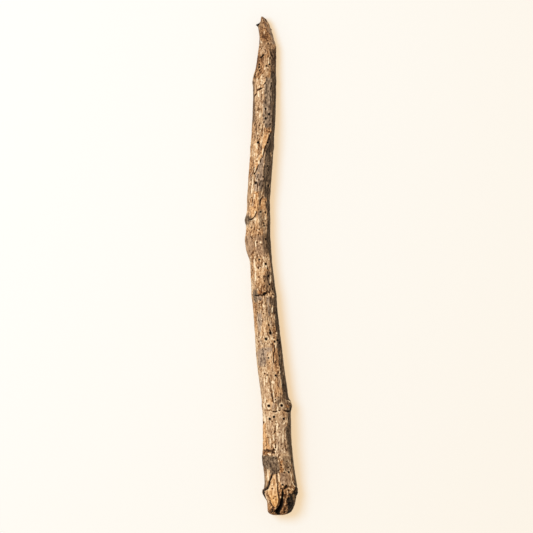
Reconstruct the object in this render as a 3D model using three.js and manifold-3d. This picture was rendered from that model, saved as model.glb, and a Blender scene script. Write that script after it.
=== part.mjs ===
// A dry, crooked stick of flame of the forest wood, about a foot long, lying on a flat surface.
//
// Millimetres, +Z up. The stick lies along Y: its torn thick end is at -Y, its broken thin tip
// at +Y. It rests on three small flats on its underside.
// A place on the stick is given by its height, the distance along Y from the torn end, and its
// bearing, the angle around the stick in degrees: 0 faces +X, 90 faces up and 180 faces -X.
// A place on the upper side can also be given by its height and its x, seen from above.

import * as THREE from 'three';
import { mergeVertices } from 'three/addons/utils/BufferGeometryUtils.js';
import Module from 'manifold-3d';

// Driving dimensions.
const LENGTH = 300;
const SIDES = 27;
const SHAFT_STEP = 2.7;
const HOLE_RADIUS = 0.6;
const HOLE_DEPTH = 1.9;
const HOLE_SIDES = 6;
const ABOVE_BARK = 0.8;

// The bare stick: its -X and +X edges seen from above, its depth from top to bottom, and how
// high its axis lies. It widens at the torn end and narrows to a slanting break at the tip.
const STATIONS = [
  { height: 0, left: 0.2, right: 8.8, depth: 8.5, axis: 8.0 },
  { height: 0.6, left: -0.7, right: 10.2, depth: 11.0, axis: 8.0 },
  { height: 2, left: -1.5, right: 12.2, depth: 13.2, axis: 8.1 },
  { height: 4.5, left: -1.8, right: 13.4, depth: 14.6, axis: 8.2 },
  { height: 6.5, left: -2.0, right: 13.9, depth: 15.4, axis: 8.3 },
  { height: 10.5, left: -3.9, right: 14.8, depth: 16.4, axis: 8.35 },
  { height: 14, left: -5.1, right: 15.9, depth: 17.4, axis: 8.35 },
  { height: 16.5, left: -4.2, right: 15.5, depth: 17.4, axis: 8.25 },
  { height: 19.5, left: -4.0, right: 15.1, depth: 17.2, axis: 8.2 },
  { height: 28, left: -4.5, right: 14.0, depth: 17.0, axis: 8.95 },
  { height: 37, left: -5.0, right: 13.1, depth: 16.6, axis: 9.2 },
  { height: 46, left: -4.8, right: 12.3, depth: 16.2, axis: 9.2 },
  { height: 58.5, left: -5.0, right: 11.8, depth: 16.0, axis: 9.2 },
  { height: 75, left: -6.6, right: 9.6, depth: 15.4, axis: 9.0 },
  { height: 94, left: -8.7, right: 7.1, depth: 15.0, axis: 8.8 },
  { height: 110, left: -9.8, right: 5.2, depth: 14.4, axis: 8.4 },
  { height: 137.5, left: -11.8, right: 2.3, depth: 13.6, axis: 7.7 },
  { height: 152.5, left: -12.8, right: 0.6, depth: 13.2, axis: 7.0 },
  { height: 161, left: -15.0, right: -0.1, depth: 13.8, axis: 7.0 },
  { height: 171, left: -15.0, right: -0.7, depth: 13.7, axis: 6.7 },
  { height: 184, left: -14.7, right: -0.8, depth: 13.4, axis: 6.9 },
  { height: 199, left: -13.8, right: 0.0, depth: 13.2, axis: 7.3 },
  { height: 225, left: -12.0, right: 1.7, depth: 13.0, axis: 7.6 },
  { height: 251, left: -10.9, right: 2.7, depth: 12.6, axis: 6.5 },
  { height: 262, left: -10.8, right: 2.85, depth: 12.2, axis: 5.8 },
  { height: 268, left: -9.4, right: 2.85, depth: 11.4, axis: 5.35 },
  { height: 279, left: -7.65, right: 3.05, depth: 9.6, axis: 5.2 },
  { height: 286, left: -6.9, right: 1.8, depth: 8.0, axis: 5.3 },
  { height: 289.2, left: -7.1, right: 0.85, depth: 7.2, axis: 5.4 },
  { height: 293, left: -7.5, right: -0.45, depth: 6.2, axis: 5.6 },
  { height: 297, left: -6.3, right: -2.1, depth: 4.2, axis: 5.9 },
  { height: 299.4, left: -6.0, right: -4.3, depth: 2.0, axis: 6.1 },
  { height: LENGTH, left: -5.7, right: -5.4, depth: 0.3, axis: 6.2 },
];

// The torn face that closes the thick end: how far it lies in from the end, and how much of the
// end's outline it fills.
const END_FACE = [
  { height: 1.7, fill: 0.3 },
  { height: 0.9, fill: 0.62 },
  { height: 0.3, fill: 0.86 },
];

// Swellings, and dents where rise is negative. length and breadth say how far each one
// spreads along and around the stick.
const LUMPS = [
  // Leaf scars and the collars of its nodes, which turn around the stick as they follow it.
  { name: 'scar knob', height: 177.2, bearing: 172, rise: 0.8, length: 2.4, breadth: 2.8 },
  { name: 'bulge under scar', height: 165, bearing: 186, rise: 0.7, length: 4.0, breadth: 4.5 },
  { name: 'node knob', height: 66.6, bearing: 6, rise: 1.5, length: 1.9, breadth: 3.2 },
  { name: 'node scar', height: 132, bearing: 132, rise: 0.5, length: 2.4, breadth: 2.4 },
  { name: 'upper scar', height: 260, bearing: 180, rise: 0.35, length: 1.8, breadth: 2.4 },
  { name: 'hidden scar', height: 221, bearing: 318, rise: 0.9, length: 3.0, breadth: 3.0 },
  { name: 'hidden node knob', height: 96, bearing: 222, rise: 1.1, length: 2.8, breadth: 3.2 },
  { name: 'hidden bud', height: 38, bearing: 300, rise: 0.8, length: 2.4, breadth: 2.6 },
  // Raised bark plates and hollows between them.
  { name: 'flaking plate', height: 30, bearing: 118, rise: 0.45, length: 4.5, breadth: 3.2 },
  { name: 'end plate', height: 22, bearing: 62, rise: 0.4, length: 3.0, breadth: 3.2 },
  { name: 'rounded lobe', height: 6.5, bearing: 42, rise: 0.9, length: 4.0, breadth: 3.2 },
  { name: 'lower lobe', height: 3.6, bearing: 150, rise: 0.5, length: 2.2, breadth: 2.6 },
  { name: 'split face', height: 12, bearing: 116, rise: -0.7, length: 5.5, breadth: 2.4 },
  { name: 'side hollow', height: 118, bearing: 60, rise: -0.5, length: 9, breadth: 3.0 },
  { name: 'upper hollow', height: 243, bearing: 75, rise: -0.4, length: 8, breadth: 2.8 },
  { name: 'end knob under left', height: 5, bearing: 205, rise: 0.8, length: 4.0, breadth: 2.6 },
  { name: 'end groove below', height: 2, bearing: 248, rise: -1.5, length: 7.0, breadth: 1.9 },
  { name: 'end knob below', height: 6, bearing: 288, rise: 0.5, length: 3.5, breadth: 2.6 },
  { name: 'end groove under right', height: 3, bearing: 328, rise: -1.0, length: 6.0, breadth: 1.8 },
];

// Collars where the nodes ring the stick.
const COLLARS = [
  { height: 65.5, rise: 0.35, length: 2.2 },
  { height: 131.5, rise: 0.3, length: 2.6 },
  { height: 177, rise: 0.2, length: 3.0 },
  { height: 221, rise: 0.18, length: 2.6 },
  { height: 261, rise: 0.15, length: 2.4 },
];

// Slow waves of the bark: how many go around the stick, the length of one along it, the phase
// and the rise.
const WAVES = [
  { around: 3, along: 61, phase: 0.4, rise: 0.2 },
  { around: 5, along: -83, phase: 2.1, rise: 0.17 },
  { around: 2, along: 37, phase: 4.0, rise: 0.16 },
  { around: 8, along: 120, phase: 1.2, rise: 0.13 },
];

// Bark plates stand up to this far above or below the worn bark between them.
const PLATE_RISE = 0.24;

// The break at the thick end slants: its underside is set back this far, and its rim is jagged.
const SLANT_INSET = 2.4;
const JAG_INSET = 0.35;

// Exit holes of the beetles that bored the wood, as seen from above: height and x.
const UPPER_HOLES = [
  [276.1, -5.1], [277.2, 0.4], [270.8, -0.8], [270.2, -2.8], [269.1, -7.5],
  [258.5, 0.4], [243.7, -3.1], [240.6, -1.1], [238, -3.1], [233.9, -6.7],
  [223.6, -7.7], [204.9, -10.3], [199.4, -8.9], [197.8, -1.6], [181.7, -3.1],
  [174.6, -4.1], [164, -8.5], [153.4, -7.2], [150.7, -3.3], [142.9, -7.5],
  [138.4, -0.6], [128.1, -6.7], [109.6, -0.5], [105.8, -3.1], [104.1, 2.9],
  [95.4, 5.1], [88, 5.6], [84.2, -2.2], [65.6, -1.0], [66, 6.5], [59, 1.7],
  [57.9, -0.7], [58.1, 7.8], [43.2, 0.5], [40.2, 2.4], [18.4, 7.2],
];

// Exit holes on the sides and the underside: height and bearing.
const HIDDEN_HOLES = [
  [246, 236], [214, 330], [188, 246], [156, 300], [119, 225], [101, 338], [73, 262],
  [52, 205], [34, 322],
];

// Cracks seen from above, as height and x along each, with their width and depth. They run
// with the grain between bark plates, or across it around a node.
const CRACKS = [
  {
    name: 'slanting ledge', width: 0.9, depth: 0.8,
    path: [[228.2, -1.2], [222, -2.4], [216, -4.4], [211, -6.3], [205.5, -9.6]],
  },
  {
    name: 'scar crack', width: 0.8, depth: 0.8,
    path: [[177.2, -12.4], [179.4, -9.4], [181.6, -8.7]],
  },
  {
    name: 'node crack', width: 1.2, depth: 1.1,
    path: [[131.8, -10.6], [132, -7.6], [133, -4.4], [133.9, -1.6], [132.6, 0.8]],
  },
  {
    name: 'collar crack', width: 1.1, depth: 0.9,
    path: [[63.3, -3.9], [63.1, -1.0], [62.2, 2.6], [63.2, 5.6], [62.8, 9.6]],
  },
  {
    name: 'cross crack', width: 1.1, depth: 0.9,
    path: [[39, -4.2], [38.7, -1.0], [38, 1.4]],
  },
  {
    name: 'grain crack', width: 0.8, depth: 0.7,
    path: [[81, -0.7], [76.5, 0.2], [67.7, 1.6]],
  },
  {
    name: 'upper grain crack', width: 0.8, depth: 0.7,
    path: [[99, 2.0], [96.5, 1.5], [92, 1.4]],
  },
  {
    name: 'groove by ridge', width: 1.0, depth: 0.7,
    path: [[49, 7.9], [42, 8.4], [37, 9.2]],
  },
  {
    name: 'middle groove', width: 1.0, depth: 0.7,
    path: [[54.5, 2.7], [48.4, 1.8], [42.4, 2.8]],
  },
  {
    name: 'crack beside split', width: 1.5, depth: 2.0,
    path: [[24.6, -0.3], [20.7, -0.9], [17.7, -2.0], [15.2, -3.2]],
  },
  {
    name: 'groove beside split', width: 1.3, depth: 1.7,
    path: [[25, 3.4], [18.3, 4.3], [13, 4.9]],
  },
];

// The rotted cavity that opens the torn end, as seen from above: height, x, half its width and
// its depth below the bark.
const CAVITY = [
  { height: 15.2, x: 6.9, half: 0.4, depth: 0.8 },
  { height: 12.5, x: 6.9, half: 1.0, depth: 2.6 },
  { height: 9, x: 6.7, half: 1.3, depth: 4.0 },
  { height: 5.5, x: 5.8, half: 1.7, depth: 5.2 },
  { height: 2.6, x: 3.9, half: 2.2, depth: 5.6 },
  { height: -1.2, x: 3.2, half: 2.6, depth: 5.4 },
];

// The three flats that the stick rests on, worn where it touches the surface: height and x of
// the middle, and how far each one fades out along and across.
const REST_FLATS = [
  { name: 'thick end', height: 17, x: 5.2, length: 8.5, breadth: 3.4 },
  { name: 'bend', height: 170, x: -8.4, length: 9, breadth: 3.2 },
  { name: 'thin end', height: 263, x: -3.8, length: 8.5, breadth: 3.0 },
];
const FLAT_REACH = 2.2;

// A broken spur and a stub near the tip: place, length, thickness and the way they point.
const SPURS = [
  { height: 294.8, bearing: 168, length: 2.7, radius: 0.75, way: [-0.92, -0.38, 0.1] },
  { height: 292.4, bearing: 14, length: 1.3, radius: 0.55, way: [0.9, -0.35, 0.3] },
];

// One of a station's values at any height, on a smooth line that keeps to the values given.
function along(name, height) {
  const last = STATIONS.length - 1;
  const gradient = (i) =>
    (STATIONS[i + 1][name] - STATIONS[i][name]) / (STATIONS[i + 1].height - STATIONS[i].height);
  const slope = (i) => {
    if (i === 0) return gradient(0);
    if (i === last) return gradient(last - 1);
    const before = gradient(i - 1);
    const after = gradient(i);
    return before * after > 0 ? (2 * before * after) / (before + after) : 0;
  };
  let i = 0;
  while (i < last - 1 && height > STATIONS[i + 1].height) i += 1;
  const span = STATIONS[i + 1].height - STATIONS[i].height;
  const t = THREE.MathUtils.clamp((height - STATIONS[i].height) / span, 0, 1);
  const start = STATIONS[i][name] + t * span * slope(i);
  const end = STATIONS[i + 1][name] - (1 - t) * span * slope(i + 1);
  const ease = t * t * (3 - 2 * t);
  return start + (end - start) * ease;
}

// The oval that the bare stick has at a height.
function section(height) {
  const left = along('left', height);
  const right = along('right', height);
  return {
    x: (left + right) / 2,
    z: along('axis', height),
    across: (right - left) / 2,
    deep: along('depth', height) / 2,
  };
}

// The bearing of a place on the upper side that is seen from above at x.
function bearingAt(height, x) {
  const { x: middle, across } = section(height);
  return THREE.MathUtils.radToDeg(Math.acos(THREE.MathUtils.clamp((x - middle) / across, -1, 1)));
}

// The shorter way around from one bearing to another, in degrees.
function turn(from, to) {
  return ((((to - from) % 360) + 540) % 360) - 180;
}

function lumpRise(height, bearing, radius) {
  let rise = 0;
  for (const lump of LUMPS) {
    const around = THREE.MathUtils.degToRad(turn(lump.bearing, bearing)) * radius;
    const up = height - lump.height;
    rise += lump.rise * Math.exp(-((up / lump.length) ** 2) - (around / lump.breadth) ** 2);
  }
  for (const collar of COLLARS) {
    rise += collar.rise * Math.exp(-(((height - collar.height) / collar.length) ** 2));
  }
  return rise;
}

// Waves and plates fade out at both ends, and where the stick's outline is read from above.
function barkRise(height, bearing) {
  const angle = THREE.MathUtils.degToRad(bearing);
  const edge = 0.25 + 0.75 * Math.sin(angle) ** 2;
  const ends = THREE.MathUtils.smoothstep(height, 0, 12)
    * (1 - THREE.MathUtils.smoothstep(height, LENGTH - 30, LENGTH));
  let rise = 0;
  for (const wave of WAVES) {
    const swing = (2 * Math.PI * height) / wave.along + wave.phase;
    rise += wave.rise * Math.sin(wave.around * angle + swing);
  }
  const patches = Math.sin(3 * angle + height / 9 + 1) + Math.sin(5 * angle - height / 13 + 2);
  return (rise + PLATE_RISE * Math.tanh(3 * patches)) * edge * ends;
}

// How far the torn end's rim is set back from the end of the stick at a bearing.
function tornInset(bearing) {
  const angle = THREE.MathUtils.degToRad(bearing);
  const slant = SLANT_INSET * ((1 - Math.sin(angle)) / 2) ** 1.5;
  const under = Math.max(0, -Math.sin(angle));
  return slant + JAG_INSET * under * (Math.sin(7 * angle) + Math.sin(11 * angle + 1));
}

// How far a place on the underside is drawn down to the surface it rests on, from 0 to 1.
function restShare(height, x) {
  let share = 0;
  for (const flat of REST_FLATS) {
    const up = (height - flat.height) / flat.length;
    const over = (x - flat.x) / flat.breadth;
    share = Math.max(share, FLAT_REACH * Math.exp(-(up ** 2) - over ** 2));
  }
  return Math.min(share, 1);
}

// A point of the surface. The underside is worn flat where it rests.
function surfacePoint(height, bearing, fill = 1) {
  const { x: middle, z: axis, across, deep } = section(fill < 1 ? 0 : height);
  const angle = THREE.MathUtils.degToRad(bearing);
  const rise = (lumpRise(height, bearing, (across + deep) / 2) + barkRise(height, bearing)) * fill;
  const inset = tornInset(bearing) * fill * (1 - THREE.MathUtils.smoothstep(height, 0, 14));
  const x = middle + (across * fill + rise) * Math.cos(angle);
  const z = axis + (deep * fill + rise) * Math.sin(angle);
  const lowered = bearing > 180 ? z * (1 - restShare(height, x)) : z;
  return new THREE.Vector3(x, height + inset, Math.max(0, lowered));
}

// Heights of the rings: close together at both ends and at the nodes, even between them.
function ringHeights() {
  const thickEnd = [0, 0.5, 1.3, 2.6, 4.2, 6, 8, 10, 11.8, 13.1, 14, 15.2, 16.8, 18.8, 21, 23.2, 25.4];
  const tip = [290.6, 292.4, 294, 295.6, 297, 298.2, 299.1, 299.7];
  const shaft = [];
  const first = thickEnd[thickEnd.length - 1];
  const steps = Math.round((tip[0] - first) / SHAFT_STEP);
  for (let i = 1; i < steps; i += 1) shaft.push(first + ((tip[0] - first) * i) / steps);
  return [...thickEnd, ...shaft, ...tip];
}

// A closed skin through the rings, from the middle of the torn face to the point of the tip.
function stickGeometry() {
  const rings = [...END_FACE, ...ringHeights().map((height) => ({ height, fill: 1 }))];
  const face = section(0);
  const tip = section(LENGTH);
  const positions = [face.x, END_FACE[0].height + 0.4, face.z];
  for (const { height, fill } of rings) {
    for (let i = 0; i < SIDES; i += 1) {
      positions.push(...surfacePoint(height, (360 * i) / SIDES, fill));
    }
  }
  positions.push(tip.x, LENGTH, tip.z);

  const faces = [];
  const corner = (ring, i) => 1 + ring * SIDES + (i % SIDES);
  const point = 1 + rings.length * SIDES;
  for (let i = 0; i < SIDES; i += 1) {
    faces.push(0, corner(0, i), corner(0, i + 1));
    for (let ring = 0; ring < rings.length - 1; ring += 1) {
      const [a, b] = [corner(ring, i), corner(ring, i + 1)];
      const [c, d] = [corner(ring + 1, i), corner(ring + 1, i + 1)];
      faces.push(a, c, b, b, c, d);
    }
    faces.push(point, corner(rings.length - 1, i + 1), corner(rings.length - 1, i));
  }
  const geometry = new THREE.BufferGeometry();
  geometry.setAttribute('position', new THREE.Float32BufferAttribute(positions, 3));
  geometry.setIndex(faces);
  return geometry;
}

// The way out of the surface at a bearing.
function outward(bearing) {
  const angle = THREE.MathUtils.degToRad(bearing);
  return new THREE.Vector3(Math.cos(angle), 0, Math.sin(angle));
}

// A bored hole: a short round plug, a little wider at its mouth, set into the bark.
function holeGeometry(height, bearing) {
  const way = outward(bearing);
  const mouth = surfacePoint(height, bearing);
  const plug = new THREE.CylinderGeometry(
    HOLE_RADIUS * 1.1, HOLE_RADIUS * 0.8, HOLE_DEPTH + ABOVE_BARK, HOLE_SIDES,
  );
  plug.translate(0, (ABOVE_BARK - HOLE_DEPTH) / 2, 0);
  plug.applyQuaternion(new THREE.Quaternion().setFromUnitVectors(new THREE.Vector3(0, 1, 0), way));
  plug.translate(mouth.x, mouth.y, mouth.z);
  return plug;
}

// A skin through three-cornered sections, with its two ends closed to points.
function wedgeGeometry(sections, startPoint, endPoint) {
  const positions = [...startPoint];
  for (const corners of sections) {
    for (const corner of corners) positions.push(...corner);
  }
  positions.push(...endPoint);
  const end = positions.length / 3 - 1;
  const faces = [];
  for (let side = 0; side < 3; side += 1) {
    const next = (side + 1) % 3;
    faces.push(0, 1 + next, 1 + side);
    for (let i = 0; i < sections.length - 1; i += 1) {
      const [a, b] = [1 + 3 * i + side, 1 + 3 * i + next];
      faces.push(a, b, a + 3, b, b + 3, a + 3);
    }
    faces.push(end, end - 3 + side, end - 3 + next);
  }
  const geometry = new THREE.BufferGeometry();
  geometry.setAttribute('position', new THREE.Float32BufferAttribute(positions, 3));
  geometry.setIndex(faces);
  return geometry;
}

// A cutter that is wide above the bark and comes to an edge below it, along a list of places
// with their width and depth.
function trenchGeometry(places) {
  const tops = places.map(({ height, x }) => surfacePoint(height, bearingAt(height, x)));
  const sections = places.map(({ height, x, half, depth }, i) => {
    const way = outward(bearingAt(height, x));
    const run = tops[Math.min(i + 1, tops.length - 1)].clone().sub(tops[Math.max(i - 1, 0)]);
    const side = new THREE.Vector3().crossVectors(way, run).normalize();
    const mouth = half * (1 + ABOVE_BARK / depth);
    const top = tops[i].clone().addScaledVector(way, ABOVE_BARK);
    return [
      top.clone().addScaledVector(side, mouth),
      top.clone().addScaledVector(side, -mouth),
      tops[i].clone().addScaledVector(way, -depth),
    ];
  });
  const startRun = tops[0].clone().sub(tops[1]).normalize();
  const endRun = tops[tops.length - 1].clone().sub(tops[tops.length - 2]).normalize();
  const startWay = outward(bearingAt(places[0].height, places[0].x));
  const last = places[places.length - 1];
  const endWay = outward(bearingAt(last.height, last.x));
  const start = tops[0].clone().addScaledVector(startRun, 1).addScaledVector(startWay, 0.5);
  const end = tops[tops.length - 1].clone().addScaledVector(endRun, 1).addScaledVector(endWay, 0.5);
  return wedgeGeometry(sections, start, end);
}

function crackGeometry({ width, depth, path }) {
  return trenchGeometry(path.map(([height, x]) => ({ height, x, half: width / 2, depth })));
}

// A spur of broken wood: a slim cone that starts inside the stick.
function spurGeometry({ height, bearing, length, radius, way }) {
  const root = surfacePoint(height, bearing).addScaledVector(outward(bearing), -length * 0.35);
  const cone = new THREE.ConeGeometry(radius, length * 1.35, 6);
  cone.translate(0, (length * 1.35) / 2, 0);
  const toward = new THREE.Vector3(...way).normalize();
  cone.applyQuaternion(new THREE.Quaternion().setFromUnitVectors(new THREE.Vector3(0, 1, 0), toward));
  cone.translate(root.x, root.y, root.z);
  return cone;
}

const wasm = await Module();
wasm.setup();

function solidFrom(geometry) {
  geometry.deleteAttribute('normal');
  geometry.deleteAttribute('uv');
  const merged = mergeVertices(geometry, 1e-4);
  const mesh = new wasm.Mesh({
    numProp: 3,
    vertProperties: new Float32Array(merged.attributes.position.array),
    triVerts: new Uint32Array(merged.index.array),
  });
  return new wasm.Manifold(mesh);
}

function geometryFrom(solid) {
  const { vertProperties, triVerts } = solid.getMesh();
  const geometry = new THREE.BufferGeometry();
  geometry.setAttribute('position', new THREE.Float32BufferAttribute(vertProperties, 3));
  geometry.setIndex(Array.from(triVerts));
  geometry.computeVertexNormals();
  return geometry;
}

// The whole stick: the skin with its spurs, less its cavity, cracks and holes.
function buildStick() {
  let solid = solidFrom(stickGeometry());
  for (const spur of SPURS) solid = solid.add(solidFrom(spurGeometry(spur)));
  solid = solid.subtract(solidFrom(trenchGeometry(CAVITY)));
  for (const crack of CRACKS) solid = solid.subtract(solidFrom(crackGeometry(crack)));
  for (const [height, x] of UPPER_HOLES) {
    solid = solid.subtract(solidFrom(holeGeometry(height, bearingAt(height, x))));
  }
  for (const [height, bearing] of HIDDEN_HOLES) {
    solid = solid.subtract(solidFrom(holeGeometry(height, bearing)));
  }
  return geometryFrom(solid);
}

// Moves a geometry so that the middle of its base is the origin.
function standOnOrigin(geometry) {
  geometry.computeBoundingBox();
  const { min, max } = geometry.boundingBox;
  geometry.translate(-(min.x + max.x) / 2, -(min.y + max.y) / 2, -min.z);
  return geometry;
}

const bark = new THREE.MeshStandardMaterial({ color: 0xb08e68, roughness: 0.9, metalness: 0 });
const stick = new THREE.Mesh(standOnOrigin(buildStick()), bark);
stick.name = 'stick';

const model = new THREE.Group();
model.add(stick);

export default model;
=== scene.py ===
# A dry, crooked stick of flame of the forest wood, lying on a pale floor and seen from above.
#
# The stick's skin is one fine mesh. Its form repeats the model's: places are given in
# millimetres, by height, the distance from the torn thick end, and bearing, the angle around
# the stick in degrees, where 0 faces +X and 90 faces up. Places on the upper side are also
# given by height and x, as seen from above. The mesh is turned into metres when it is made.
#
# The tables and measures come first, and then the functions that use them.

import bpy
import numpy as np
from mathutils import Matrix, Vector


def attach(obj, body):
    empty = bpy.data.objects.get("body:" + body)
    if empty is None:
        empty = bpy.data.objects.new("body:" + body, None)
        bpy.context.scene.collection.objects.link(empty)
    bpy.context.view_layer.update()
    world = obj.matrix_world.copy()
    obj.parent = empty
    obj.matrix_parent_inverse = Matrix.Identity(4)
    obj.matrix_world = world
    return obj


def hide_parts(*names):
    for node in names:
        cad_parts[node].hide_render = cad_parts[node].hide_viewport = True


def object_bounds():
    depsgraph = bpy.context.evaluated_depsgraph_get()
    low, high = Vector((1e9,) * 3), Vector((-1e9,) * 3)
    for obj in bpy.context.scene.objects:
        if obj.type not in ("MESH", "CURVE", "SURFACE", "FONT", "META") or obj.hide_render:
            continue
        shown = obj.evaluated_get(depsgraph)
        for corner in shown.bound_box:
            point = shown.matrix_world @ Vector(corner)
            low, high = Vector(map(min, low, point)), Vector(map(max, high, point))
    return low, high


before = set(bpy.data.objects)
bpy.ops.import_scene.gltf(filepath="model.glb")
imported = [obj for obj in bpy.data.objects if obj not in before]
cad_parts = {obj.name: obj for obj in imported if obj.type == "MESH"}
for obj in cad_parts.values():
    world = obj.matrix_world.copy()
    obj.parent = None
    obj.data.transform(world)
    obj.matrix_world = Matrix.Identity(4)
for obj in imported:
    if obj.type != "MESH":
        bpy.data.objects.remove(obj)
CAD_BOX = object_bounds()

MM = 0.001
LENGTH = 300.0
SEED = 29

# The photograph's frame: its size in pixels, a pixel's real size, and the place in it of
# x = 0 and of the torn end.
PHOTO_SIDE = 533
PIXEL = 0.602
PIXEL_OF_X0 = 271.0
PIXEL_OF_END = 514.4

# The fine grid of the skin, before it is thinned out, the rows of the torn face, and how many
# triangles are kept.
ROW_STEP = 0.2
COLUMNS = 232
FACE_ROWS = 34
SKIN_TRIANGLES = 190000

# The bare stick

# Height, left edge, right edge, depth and height of the axis of the bare stick.
STATIONS = np.array([
    [0, -0.8, 9.8, 8.5, 8.0],
    [0.6, -1.5, 11.2, 11.0, 8.0],
    [2, -1.9, 12.6, 13.2, 8.1],
    [4.5, -1.9, 13.5, 14.6, 8.2],
    [6.5, -2.0, 14.1, 15.4, 8.3],
    [10.5, -3.9, 14.8, 16.4, 8.35],
    [14, -5.1, 15.9, 17.4, 8.35],
    [16.5, -4.2, 15.5, 17.4, 8.25],
    [19.5, -4.0, 15.1, 17.2, 8.2],
    [28, -4.5, 14.0, 17.0, 8.95],
    [37, -5.0, 13.1, 16.6, 9.2],
    [46, -4.8, 12.3, 16.2, 9.2],
    [58.5, -5.0, 11.8, 16.0, 9.2],
    [75, -6.6, 9.6, 15.4, 9.0],
    [94, -8.7, 7.1, 15.0, 8.8],
    [110, -9.8, 5.2, 14.4, 8.4],
    [137.5, -11.8, 2.3, 13.6, 7.7],
    [152.5, -12.8, 0.6, 13.2, 7.0],
    [161, -15.0, -0.1, 13.8, 7.0],
    [171, -15.0, -0.7, 13.7, 6.7],
    [184, -14.7, -0.8, 13.4, 6.9],
    [199, -13.8, 0.0, 13.2, 7.3],
    [225, -12.0, 1.7, 13.0, 7.6],
    [251, -10.9, 2.7, 12.6, 6.5],
    [262, -10.8, 2.85, 12.2, 5.8],
    [268, -9.4, 2.85, 11.4, 5.35],
    [279, -7.65, 3.05, 9.6, 5.2],
    [286, -6.9, 1.8, 8.0, 5.3],
    [289.2, -7.1, 0.85, 7.2, 5.4],
    [293, -7.5, -0.45, 6.2, 5.6],
    [297, -6.3, -2.1, 4.2, 5.9],
    [299.4, -6.0, -4.3, 2.0, 6.1],
    [LENGTH, -5.7, -5.4, 0.3, 6.2],
])
LEFT, RIGHT, DEPTH, AXIS = 1, 2, 3, 4

# Swellings and dents: height, bearing, rise, and how far each spreads along and around.
LUMPS = [
    (177.2, 172, 0.8, 2.4, 2.8),
    (165, 186, 0.7, 4.0, 4.5),
    (68.2, 4, 0.75, 1.3, 3.0),
    (65.9, 6, 0.9, 1.8, 3.2),
    (63.8, 8, 0.5, 1.5, 2.8),
    (132, 132, 0.5, 2.4, 2.4),
    (260, 180, 0.35, 1.8, 2.4),
    (221, 318, 0.9, 3.0, 3.0),
    (96, 222, 1.1, 2.8, 3.2),
    (38, 300, 0.8, 2.4, 2.6),
    (30, 118, 0.45, 4.5, 3.2),
    (22, 62, 0.4, 3.0, 3.2),
    (6.5, 42, 0.9, 4.0, 3.2),
    (3.6, 150, 0.5, 2.2, 2.6),
    (12, 116, -0.7, 5.5, 2.4),
    (118, 60, -0.5, 9, 3.0),
    (243, 75, -0.4, 8, 2.8),
    (5, 205, 0.8, 4.0, 2.6),
    (2, 248, -1.5, 7.0, 1.9),
    (6, 288, 0.5, 3.5, 2.6),
    (3, 328, -1.0, 6.0, 1.8),
]

# Node collars: height, rise and length.
COLLARS = [
    (65.5, 0.35, 2.2),
    (131.5, 0.3, 2.6),
    (177, 0.2, 3.0),
    (221, 0.18, 2.6),
    (261, 0.15, 2.4),
]

# Slow waves: how many go around, the length of one along the stick, its phase and its rise.
WAVES = [
    (3, 61, 0.4, 0.2),
    (5, -83, 2.1, 0.17),
    (2, 37, 4.0, 0.16),
    (8, 120, 1.2, 0.13),
]

# Low plates stand where two sets of waves meet: how many waves go around, the length of a radian
# of them along the stick, and their phase.
PLATE_WAVES = [(3, 9, 1), (5, -13, 2)]
PLATE_RISE = 0.24
PLATE_STEEPNESS = 3

# How far waves and plates take to fade out toward the thick end and toward the tip, and the share
# of them that is left where the outline is seen from above.
END_FADE = 12
TIP_FADE = 30
EDGE_SHARE = 0.25

# The torn end's rim is set back underneath, by a slant and by jags, of which so many go around
# with their phase. The skin up to INSET_FADE is drawn along with it.
SLANT_INSET = 2.4
SLANT_POWER = 1.5
JAG_INSET = 0.35
JAGS = [(7, 0), (11, 1)]
INSET_FADE = 14

# The flats that the stick rests on: height, x, and how far each fades out along and across.
REST_FLATS = [
    (17, 5.2, 8.5, 3.4),
    (170, -8.4, 9, 3.2),
    (263, -3.8, 8.5, 3.0),
]
FLAT_REACH = 2.2

# Cracks and holes go down rather than sideways: how far in from the side a place can be cut.
INWARD_LIMIT = -0.45

# The least half width and half depth, and the point in which the tip ends.
THINNEST = 0.15
TIP = (-5.55, LENGTH, 6.2)

# The bark's relief fades by this share from here to the tip.
TIP_SMOOTH_FROM = 292
TIP_SMOOTHING = 0.75

# Noise

# How many degrees the grain turns around the stick in a millimetre, as its long cracks do.
GRAIN_TURN = 0.55

# Added to the coordinates of all noise on the skin, which picks the part of it that is used.
NOISE_SHIFT = 40

# Layers of noise: a seed, and how many millimetres the patches measure around and along.
NOISES = {
    "grey edge": (1, 5.0, 13),
    "grey edge, fine": (2, 1.4, 4),
    "grey below": (3, 9, 30),
    "islands": (4, 3.4, 11),
    "thin grey": (5, 1.6, 5),
    "ragged": (6, 1.5, 2.5),
    "ragged, fine": (7, 0.6, 1.1),
    "worn warp": (11, 1.6, 3.0),
    "streak": (14, 1.2, 22),
    "fissured": (15, 4, 14),
    "layer": (16, 2.8, 9),
    "long line": (17, 1.9, 26),
    "thread": (18, 0.7, 12),
    "lumps": (19, 3.2, 5.0),
    "ridges": (23, 0.6, 9),
    "grey warp": (24, 1.4, 3.0),
    "orange": (25, 3.0, 9),
    "frays": (31, 0.9, 2.2),
    "ledge": (40, 1.6, 3.0),
    "splits": (41, 1.1, 16),
    "fibre": (42, 0.5, 7),
    "torn": (43, 2.0, 9),
    "torn tone": (44, 1.5, 6),
    "wood streaks": (45, 0.7, 12),
    "wedge edge": (46, 1.0, 1.3),
    "cavity edge": (46, 1.2, 3),
    "uneven": (48, 2.0, 2.6),
    "upper edge": (49, 2.0, 3.5),
    "still": (51, 3.4, 10),
}

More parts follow.
